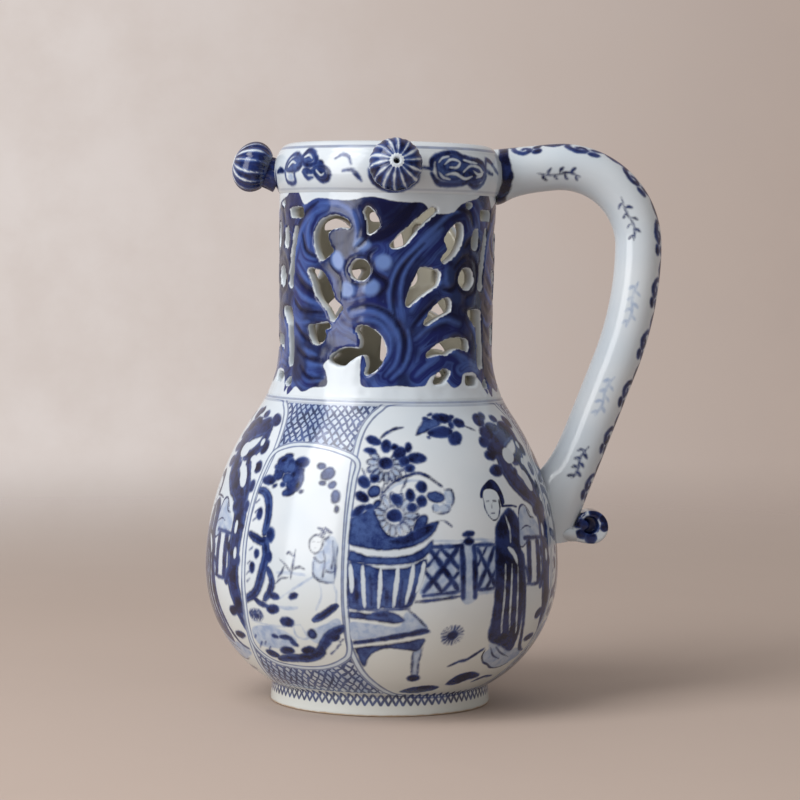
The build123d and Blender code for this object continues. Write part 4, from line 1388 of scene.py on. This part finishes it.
def paintRim(piece):
    places = meshPlaces(piece.data)
    angle = np.arctan2(places[:, 1], places[:, 0])
    reach = np.hypot(places[:, 0], places[:, 1])
    centre = math.radians(rim["centre"])
    skin = flatSkin(angle, places[:, 2], centre, rim["unit"])
    for shift in (0.0, -math.pi):
        turned = flatSkin(angle, places[:, 2], centre + shift, rim["unit"])
        for touch in rimPaint["paleTouches"]:
            turned.dab("pale", *touch)
        for touch in rimPaint["midTouches"]:
            turned.dab("mid", *touch)
        for wash in rimPaint["washes"]:
            turned.fill("mid", wash)
        for touch in rimPaint["darkTouches"]:
            turned.dab("dark", *touch)
        for line, width in rimPaint["bareLines"]:
            turned.stroke("bare", line, width)
        for line, width in rimPaint["darkLines"]:
            turned.stroke("dark", line, width * rimPaint["weight"], rimPaint["taper"])
        skin.merge(turned)
    for turn in rimPaint["spoutTurns"]:
        ringed = flatSkin(angle, places[:, 2], math.radians(rim["centre"] + turn), rim["unit"])
        ringed.stroke("dark", rimPaint["spoutRing"], *rimPaint["ringBrush"])
        skin.merge(ringed)
    wall = wallRadius(np.minimum(places[:, 2], pot["seamHeight"]))
    for field in skin.fields.values():
        field[reach < wall - rim["paintDepth"]] = paint["far"]
    skin.store(piece.data)


def rimMaterial():
    board = newBoard("paintedRim")
    place = board.place()
    x, y, z = board.axes(place)
    height = z / mm + (board.noise(place, 60.0) - 0.5) * 0.5
    reach = board.math("SQRT", x * x + y * y) / mm
    mid, dark = pigments(board, place)
    colour = glazeBase(board, place)
    outside = board.fade(reach, 38.0, 37.0)
    for level, core, edge, tone in rimPaint["rings"]:
        line = board.fade(abs(height - level), core, edge) * outside
        colour = board.mix(line * tone, colour, mid)
    return glazed(board, layers(board, colour, place), place)


rimTrough = makePiece("rimTrough", lathe(rimProfile(), rim["columns"]), ["rim_trough"])
rimCover = makePiece("rimCover", lathe(coverProfile(), rim["columns"]), ["rim_cover"])
paintedRim = rimMaterial()
for piece in (rimTrough, rimCover):
    paintRim(piece)
    piece.data.materials.append(paintedRim)
print("rim painted")

# knob spouts, each turned round its own axis and tilted up
spout = {
    "across": 19.8, "along": 15.6, "reach": 7.9, "rise": 10.2, "stem": 12.4, "stemBase": 13.4,
    "bore": 2.2, "lip": 4.6, "neckShare": 0.62, "flarePower": 2.2, "columns": 150, "rounds": 2,
    "stripes": 14, "rib": 0.28, "swirl": 0.05, "uneven": 0.07,
    "stripeAt": (-0.75, -0.3, 0.5, 1.0), "stripeWidths": (0.52, 0.42, 0.3, 0.18), "stemFrom": -0.7,
    "directions": {"front": -90.0, "left": 180.0, "rear": 90.0},
    "tilts": {"front": 9.0, "left": 19.0, "rear": 12.0},
}


def spoutProfile():
    # (radius, along the axis), from the seat over the bun to the bore
    half, long = spout["across"] / 2, spout["along"] / 2
    seat = -(spout["reach"] + pot["rimWall"])
    neckAt = -long * spout["neckShare"]
    blend = np.linspace(0, 1, 16)
    stemEnd = spout["stem"] / 2
    flare = (spout["stemBase"] - spout["stem"]) / 2
    power = spout["flarePower"]
    profile = [(stemEnd + flare * (1 - t) ** power, seat + (neckAt - seat) * t) for t in blend]
    first = math.asin(min(1, stemEnd / half))
    last = math.asin(spout["lip"] / spout["across"])
    turns = np.linspace(math.pi - first, last, 40)
    profile += [(half * math.sin(t), long * math.cos(t)) for t in turns]
    tip = long * math.cos(last)
    lip, bore = spout["lip"] / 2, spout["bore"] / 2
    profile += [(lip - 0.5, tip + 0.2), (bore + 0.3, tip + 0.1), (bore, tip - 0.4)]
    profile += [(bore, x) for x in np.linspace(tip - 2, seat, 6)]
    return profile


def spoutPiece(name, direction):
    bm = lathe(spoutProfile(), spout["columns"])
    for _ in range(spout["rounds"]):
        soften(bm, [v for v in bm.verts if v.co.xy.length > spout["lip"] / 2 * mm])
    own = np.array([v.co for v in bm.verts]) / mm
    turn = np.arctan2(own[:, 1], own[:, 0])
    reach = np.hypot(own[:, 0], own[:, 1])
    share = (turn / (2 * math.pi) + spout["swirl"] * own[:, 2] / spout["along"]) * spout["stripes"]
    away = np.abs(share - np.floor(share) - 0.5)
    for vert, part, radius in zip(bm.verts, away, reach):
        if radius > spout["lip"] / 2 and vert.co.z > -spout["along"] / 2 * mm:
            sink = 1 - spout["rib"] / radius * max(0.0, 1 - part * 4)
            vert.co.x *= sink
            vert.co.y *= sink
    place = Matrix.Rotation(math.radians(direction), 4, "Z")
    middle = Vector((pot["rimRadius"] + spout["reach"], 0, pot["neckTop"] + spout["rise"]))
    place @= Matrix.Translation(middle * mm)
    place @= Matrix.Rotation(math.radians(90 - spout["tilts"][name]), 4, "Y")
    bmesh.ops.transform(bm, matrix=place, verts=bm.verts[:])
    bmesh.ops.recalc_face_normals(bm, faces=bm.faces[:])
    piece = makePiece(name + "Spout", bm, [name + "_spout"])
    along = own[:, 2] / (spout["along"] / 2)
    width = np.interp(along, spout["stripeAt"], spout["stripeWidths"])
    width += spout["uneven"] * np.sin(2.4 * (np.floor(share) % spout["stripes"]))
    field = (away - width) * reach * 2 * math.pi / spout["stripes"]
    field = np.where((reach < spout["lip"] / 2 + 0.2) & (along > 0), 2.0, field)
    field = np.where((along < spout["stemFrom"]) & (reach > spout["bore"]), -1.0, field)
    saveLayer(piece.data, "stripe", np.clip(field, -2, 2))
    return piece


def spoutMaterial():
    board = newBoard("paintedSpout")
    place = board.place()
    mid, dark = pigments(board, place)
    wobble = (board.noise(place, 300.0, 2.0) - 0.5) * 1.2
    colour = glazeBase(board, place)
    colour = board.mix(board.fade(board.layer("stripe") + wobble, 0.0, 0.9), colour, mid)
    colour = board.mix(board.fade(board.layer("stripe") + wobble, -0.6, 0.2), colour, dark)
    return glazed(board, colour, place)


paintedSpout = spoutMaterial()
for name, direction in spout["directions"].items():
    spoutPiece(name, direction).data.materials.append(paintedSpout)
print("spouts painted")

# hollow handle: one tube, bent up from a ring and let into the rim and the body
handle = {
    "radius": 9.0, "slope": 6.6, "startReach": 40.6, "bendReach": 19.6, "bendRise": 12.2,
    "bendArc": 30.5, "backArc": 130.0, "footRise": 13.0, "footDepth": 4.0, "segments": 92, "step": 0.62,
    "overrun": 22.0, "seat": 2.6, "flare": 0.18, "flareReach": 4.2, "under": 0.2, "underReach": 9.0,
    "swellReach": 22.5, "tailCut": 2.6, "tailTop": 60.0, "tailRounds": 8, "tailRise": 1.5, "samples": 400,
}
handlePaint = {
    "sprigs": [
        (16, 34, 17.0, "mid"), (53, 72, 16.6, "mid"), (88, 106, 15.4, "pale"), (126, 143, 14.6, "pale"),
        (155, 169, 14.0, "mid"),
    ],
    "samples": 800, "stemWidth": 0.9, "leafWidth": 1.2, "curlBrush": (2.2, 0.4), "curlLeaf": (1.3, 2.2),
    "scrolls": {"first": 8.0, "last": 182.0, "wave": 19.5, "swing": 3.4, "brush": (3.4, 0.3)},
    "stem": ((-1.0, 0.0), (0.5, 0.35), (-0.4, 0.7), (0.6, 1.0)),
    "leafShares": (0.12, 0.24, 0.36, 0.5, 0.62, 0.76, 0.88),
    "leaf": ((0.0, 0.0), (1.3, 0.02), (2.4, 0.08)),
    "curl": ((1.0, -4.0), (5.2, -4.2), (7.2, -1.2), (6.0, 1.6), (4.2, 0.2), (5.2, -1.2)),
    "curlLeaves": ((6.8, 4.2, 20), (3.6, 4.8, 35)),
    # the vent hole is not cut: a dark dab, painted shade of the hole, stands in for it
    "vent": (28.2, 26.6, 1.3, 1.3),
}


class HandleLine:
    # centre line of the handle: straight, tight bend, slow bend, straight
    def __init__(self):
        slope = math.radians(handle["slope"])
        self.bend = Vector((pot["rimRadius"] + handle["bendReach"], 0, pot["neckTop"] + handle["bendRise"]))
        self.ahead = Vector((math.cos(slope), 0, math.sin(slope)))
        run = self.bend.x - handle["startReach"]
        self.start = self.bend - self.ahead * (run / math.cos(slope))
        self.topLength = run / math.cos(slope)
        self.topCentre = self.bend + Vector((math.sin(slope), 0, -math.cos(slope))) * handle["bendArc"]
        self.topTurn = math.pi / 2 + slope
        self.backCentre = self.topCentre - Vector((handle["backArc"] - handle["bendArc"], 0, 0))
        footReach = pot["bellyRadius"] - handle["footDepth"]
        self.foot = Vector((footReach, 0, pot["bellyHeight"] + handle["footRise"]))
        toFoot = self.foot - self.backCentre
        reach = math.hypot(toFoot.x, toFoot.z)
        self.backTurn = math.atan2(-toFoot.z, toFoot.x) - math.acos(handle["backArc"] / reach)
        out = Vector((math.cos(self.backTurn), 0, -math.sin(self.backTurn)))
        self.backEnd = self.backCentre + out * handle["backArc"]
        self.down = Vector((out.z, 0, -out.x))
        self.tailLength = (self.foot - self.backEnd).length
        self.bendLength = handle["bendArc"] * self.topTurn
        self.backLength = handle["backArc"] * self.backTurn
        self.whole = self.topLength + self.bendLength + self.backLength + self.tailLength

    def at(self, length):
        # point and outward direction at a length from the start
        if length < self.topLength:
            return self.start + self.ahead * length, Vector((-self.ahead.z, 0, self.ahead.x))
        length -= self.topLength
        if length < self.bendLength:
            angle = self.topTurn - length / handle["bendArc"]
            out = Vector((math.cos(angle), 0, math.sin(angle)))
            return self.topCentre + out * handle["bendArc"], out
        length -= self.bendLength
        if length < self.backLength:
            angle = -length / handle["backArc"]
            out = Vector((math.cos(angle), 0, math.sin(angle)))
            return self.backCentre + out * handle["backArc"], out
        length -= self.backLength
        return self.backEnd + self.down * length, Vector((-self.down.z, 0, self.down.x))


handleLine = HandleLine()


def handlePiece():
    line = handleLine
    bm = bmesh.new()
    turn = Matrix.Rotation(math.pi / 2 - math.radians(handle["slope"]), 4, "Y")
    place = Matrix.Translation(line.start * mm) @ turn
    radius = handle["radius"] * mm
    bmesh.ops.create_circle(bm, cap_ends=False, segments=handle["segments"], radius=radius, matrix=place)
    ring = bm.verts[:] + bm.edges[:]

    def sweep(ring, centre, push, angle, steps):
        way = {"cent": centre, "axis": (0, 1, 0), "dvec": push, "angle": angle, "steps": steps}
        made = bmesh.ops.spin(bm, geom=ring, **way)
        return [item for item in made["geom_last"] if not isinstance(item, bmesh.types.BMFace)]

    def run(ring, direction, length):
        steps = round(length / handle["step"])
        return sweep(ring, (0, 0, 0), direction * (length / steps * mm), 0.0, steps)

    def bend(ring, centre, angle, arc):
        steps = round(angle * (arc + handle["radius"] / 2) / handle["step"])
        return sweep(ring, centre * mm, (0, 0, 0), angle, steps)

    ring = run(ring, line.ahead, line.topLength)
    ring = bend(ring, line.topCentre, line.topTurn, handle["bendArc"])
    ring = bend(ring, line.backCentre, line.backTurn, handle["backArc"])
    run(ring, line.down, line.tailLength + handle["overrun"])

    # the end is cut level above the scroll and along the wall it is let into
    lean = math.asin((line.foot.z + handle["radius"] - pot["bellyHeight"]) / pot["shoulderArc"])
    wallPoint = Vector((pot["bellyRadius"] - handle["seat"], 0, line.foot.z))
    cutTail(bm, line.foot - Vector((0, 0, handle["tailCut"])), (0, 0, 1))
    cutTail(bm, wallPoint, (math.cos(lean), 0, math.sin(lean)))
    bmesh.ops.holes_fill(bm, edges=[e for e in bm.edges if e.is_boundary], sides=0)
    bmesh.ops.recalc_face_normals(bm, faces=bm.faces[:])
    for _ in range(handle["tailRounds"]):
        soften(bm, [v for v in bm.verts if v.co.z < (line.foot.z + handle["tailRise"]) * mm])

    # the joints swell a little where the tube meets the rim and the body
    samples = [line.at(length) for length in np.linspace(0, line.whole, handle["samples"])]
    centres = np.array([point for point, _ in samples])
    for vert in bm.verts:
        place = np.array(vert.co) / mm
        wall = float(wallRadius(min(place[2], pot["seamHeight"])))
        gap = max(math.hypot(place[0], place[1]) - wall, 0)
        if gap > handle["swellReach"]:
            continue
        nearest = np.argmin(((centres - place) ** 2).sum(1))
        centre = centres[nearest]
        under = -(place - centre) @ np.array(samples[nearest][1]) / handle["radius"]
        flare = handle["flare"] * math.exp(-((gap / handle["flareReach"]) ** 2))
        swell = handle["under"] * math.exp(-((gap / handle["underReach"]) ** 2))
        grow = 1 + flare * min(1.0, max(0.0, 1 + under)) + swell * max(0.0, under)
        vert.co = Vector(centre + (place - centre) * grow) * mm
    return makePiece("handleTube", bm, ["handle_near_half", "handle_far_half"])


def cutTail(bm, point, normal):
    # only the foot of the tube is cut, so the rest of it is left out
    top = (pot["bellyHeight"] + handle["tailTop"]) * mm
    low = [face for face in bm.faces if face.calc_center_median().z < top]
    geom = list({item for face in low for item in list(face.verts) + list(face.edges)}) + low
    bmesh.ops.bisect_plane(bm, geom=geom, dist=1e-7, plane_co=point * mm, plane_no=normal, clear_inner=True)


def paintHandle(piece):
    places = meshPlaces(piece.data)
    lengths = np.linspace(0, handleLine.whole, handlePaint["samples"])
    samples = [handleLine.at(length) for length in lengths]
    centres = np.array([point for point, _ in samples])
    outward = np.array([out for _, out in samples])
    nearest = np.concatenate([
        ((part[:, None] - centres[None]) ** 2).sum(2).argmin(1) for part in np.array_split(places, 40)
    ])
    offset = places - centres[nearest]
    turn = np.arctan2(-offset[:, 1], (offset * outward[nearest]).sum(1))
    along = lengths[nearest]
    near = flatSkin(turn, along, 0.0, handle["radius"])
    far = flatSkin(-turn, along, 0.0, handle["radius"])
    for skin in (near, far):
        drawSprigs(skin)
        # dark dab in place of the vent hole, painted shade of the hole
        skin.dab("ink", *handlePaint["vent"])
    drawScrolls(near)
    near.merge(far)
    near.store(piece.data)
    gap = np.hypot(places[:, 0], places[:, 1]) - wallRadius(np.minimum(places[:, 2], pot["seamHeight"]))
    saveLayer(piece.data, "jointGap", np.where(places[:, 2] > pot["neckBase"], gap, handle["radius"] * 5))


def drawSprigs(skin):
    # leafy sprig: a bent stem with short leaves to both sides
    for first, last, u, layer in handlePaint["sprigs"]:
        span = last - first
        stem = [(u + shift, first + span * share) for shift, share in handlePaint["stem"]]
        skin.stroke(layer, stem, handlePaint["stemWidth"])
        for index, share in enumerate(handlePaint["leafShares"]):
            side = -1 if index % 2 else 1
            s = first + span * share
            leaf = [(u + side * shift, s + span * lift) for shift, lift in handlePaint["leaf"]]
            skin.stroke(layer, leaf, handlePaint["leafWidth"])


def drawScrolls(skin):
    # running scroll along the handle's back, with a curled leaf in each bend
    scroll = handlePaint["scrolls"]
    lengths = np.arange(scroll["first"], scroll["last"], scroll["wave"] / 8)
    stem = np.stack([scroll["swing"] * np.sin(2 * np.pi * lengths / scroll["wave"]), lengths], 1)
    for index in range(0, len(stem) - 8, 8):
        skin.stroke("dark", stem[index:index + 9], *scroll["brush"])
    count = int((scroll["last"] - scroll["first"]) / scroll["wave"] * 2)
    for index in range(count):
        s = scroll["first"] + scroll["wave"] * (0.25 + index / 2)
        side = -1 if index % 2 else 1
        curl = [(side * shift, s + lift) for shift, lift in handlePaint["curl"]]
        skin.stroke("dark", curl, *handlePaint["curlBrush"])
        for shift, lift, tilt in handlePaint["curlLeaves"]:
            skin.dab("dark", side * shift, s + lift, *handlePaint["curlLeaf"], side * tilt)


def handleMaterial():
    board = newBoard("paintedHandle")
    place = board.place()
    mid, dark = pigments(board, place)
    colour = layers(board, glazeBase(board, place), place)
    ragged = board.layer("jointGap") + (board.noise(place, 240.0) - 0.5) * 1.6
    band = board.fade(abs(ragged - 2.0), 1.5, 2.6)
    colour = board.mix(band, colour, dark)
    return glazed(board, colour, place)


handleTube = handlePiece()
paintHandle(handleTube)
handleTube.data.materials.append(handleMaterial())
print("handle painted")

# scroll under the handle: the rolled strip, softened as the glaze softens it
scrollRoll = {
    "voxel": 0.4, "rounds": 8, "lute": (71.0, 64.9), "luteSize": (7.0, 8.8, 4.6),
    "arch": 1.9, "archAt": 70.0, "archWide": 6.5, "archTall": 7.0,
    # dark blue touches on the roll as (across, up, radius); the first darkens the eye, painted shade of its
    # hollow
    "patches": [
        (-0.8, 0.8, 3.6), (-5.4, 6.2, 2.6), (1.4, 5.6, 2.2), (4.8, 3.4, 2.0), (5.2, 0.4, 1.8),
        (-0.4, -3.8, 2.2), (-4.0, -2.4, 1.8), (-5.0, 1.8, 2.0),
    ],
}


def scrollPiece():
    x, z = scrollRoll["lute"]
    size = Matrix.Diagonal(Vector(scrollRoll["luteSize"]) * mm).to_4x4()
    bm = softCopy("handle_scroll", scrollRoll["voxel"], Matrix.Translation(Vector((x, 0, z)) * mm) @ size)
    for _ in range(scrollRoll["rounds"]):
        soften(bm, bm.verts[:])

    # the underside arches up between the wall and the roll
    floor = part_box("handle_scroll")[0][2] / mm
    for vert in bm.verts:
        under = max(0.0, 1 - (vert.co.z / mm - floor) / scrollRoll["archTall"])
        away = (vert.co.x / mm - scrollRoll["archAt"]) / scrollRoll["archWide"]
        vert.co.z += scrollRoll["arch"] * under * math.exp(-away * away) * mm
    return makePiece("handleScroll", bm, ["handle_scroll"])


def paintScroll(piece):
    places = meshPlaces(piece.data)
    low, high = (np.array(corner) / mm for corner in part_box("handle_scroll"))
    middle = np.array([high[0] - (high[2] - low[2]) / 2, 0, (low[2] + high[2]) / 2])
    offset = places - middle
    patches = [np.hypot(offset[:, 0] - x, offset[:, 2] - z) - size for x, z, size in scrollRoll["patches"]]
    saveLayer(piece.data, "patch", np.min(patches, 0))


def scrollMaterial():
    board = newBoard("paintedScroll")
    place = board.place()
    mid, dark = pigments(board, place)
    colour = glazeBase(board, place)
    # dark touches on the roll; over the eye they are painted shade of its hollow
    patch = board.layer("patch") + (board.noise(place, 260.0, 2.0) - 0.5) * 2.2
    colour = board.mix(board.fade(patch, 0.1, 0.8), colour, mid)
    colour = board.mix(board.fade(patch, -0.5, 0.3), colour, dark)
    return glazed(board, colour, place)


handleScroll = scrollPiece()
paintScroll(handleScroll)
handleScroll.data.materials.append(scrollMaterial())
print("scroll painted")

# plain floor that fades into the backdrop's colour
# left and right are the backdrop's colours, painted light: lighter on the left where the light comes from,
# darker on the right
stage = {
    "floor": tint(186, 169, 158), "left": tint(222, 213, 209), "right": tint(172, 156, 147),
    "room": tint(92, 86, 84), "fill": (0.97, 0.93, 0.9, 1), "fillStrength": 0.45,
    "radius": 2.5, "fadeNear": 0.2, "fadeFar": 1.4, "shadeFrom": -0.14, "shadeTo": 0.26,
}


def addFloor():
    bm = bmesh.new()
    bmesh.ops.create_circle(bm, cap_ends=True, segments=96, radius=stage["radius"])
    mesh = bpy.data.meshes.new("floor")
    bm.to_mesh(mesh)
    bm.free()
    floor = bpy.data.objects.new("floor", mesh)
    scene.collection.objects.link(floor)
    board = newBoard("floorPaper")
    place = board.place()
    x, y, _ = board.axes(place)
    cloud = board.noise(place, 9.0, 4.0)
    shader = board.tree.nodes["Principled BSDF"]
    blotch = board.fade(cloud, 0.75, 0.3) * 0.12
    board.feed(shader.inputs["Base Color"], board.mix(blotch, stage["floor"], stage["right"]))
    board.feed(shader.inputs["Roughness"], 0.75)
    near = board.fade(board.math("SQRT", x * x + y * y), stage["fadeNear"], stage["fadeFar"])
    clear = board.node("ShaderNodeBsdfTransparent", {}, {})
    mixed = board.node("ShaderNodeMixShader", {}, {0: near, 1: clear, 2: Value(board, shader.outputs[0])})
    board.feed(board.tree.nodes["Material Output"].inputs["Surface"], mixed)
    mesh.materials.append(board.owner)


def addWorld():
    # the backdrop is seen by the camera and in the glaze, and the fill lights the rest
    world = bpy.data.worlds.new("studio")
    scene.world = world
    board = Board(world)
    direction = board.node("ShaderNodeTexCoord", {}, {}, "Generated")
    x, y, _ = board.axes(direction)
    cloud = board.noise(direction, 6.0, 4.0)
    # painted light: the backdrop shades from light on the left to dark on the right
    side = board.fade(x + (cloud - 0.5) * 0.06, stage["shadeTo"], stage["shadeFrom"])
    backdrop = board.mix(side, stage["left"], stage["right"])
    mottle = board.fade(board.noise(direction, 15.0, 7.0, 0.62), 0.7, 0.3)
    backdrop = board.mix(mottle * 0.3, backdrop, stage["floor"])
    path = board.tree.nodes.new("ShaderNodeLightPath")
    rays = ("Is Camera Ray", "Is Glossy Ray", "Is Transmission Ray")
    camera, glossy, passed = (Value(board, path.outputs[name]) for name in rays)
    shown = board.math("MAXIMUM", board.math("MAXIMUM", camera, glossy), passed)
    dim = glossy * board.fade(y, -0.1, 0.35)
    backdrop = board.mix(dim, backdrop, stage["room"])
    colour = board.mix(shown, stage["fill"], backdrop)
    strength = stage["fillStrength"] + shown * (1 - stage["fillStrength"])
    background = board.tree.nodes["Background"]
    board.feed(background.inputs["Color"], colour)
    board.feed(background.inputs["Strength"], strength)


lamps = {
    "window": {
        "angle": -47.0, "distance": 1.15, "height": 0.62, "size": (0.76, 1.4), "power": 14.2, "aim": 0.2,
    },
    "skylight": {
        "angle": -54.0, "distance": 0.7, "height": 1.2, "size": (0.58, 0.8), "power": 5.8, "aim": 0.1,
    },
}


def addLamp(name, settings):
    turn = math.radians(view["azimuth"] + settings["angle"])
    spot = Vector((math.sin(turn), -math.cos(turn), 0)) * settings["distance"]
    spot.z = settings["height"]
    data = bpy.data.lights.new(name, "AREA")
    data.shape = "RECTANGLE"
    data.size, data.size_y = settings["size"]
    data.energy = settings["power"]
    lamp = bpy.data.objects.new(name, data)
    aim = Vector((0, 0, settings["aim"])) - spot
    lamp.matrix_world = Matrix.Translation(spot) @ aim.to_track_quat("-Z", "Y").to_matrix().to_4x4()
    scene.collection.objects.link(lamp)


addFloor()
addWorld()
for name, settings in lamps.items():
    addLamp(name, settings)
print("stage and lamps set")
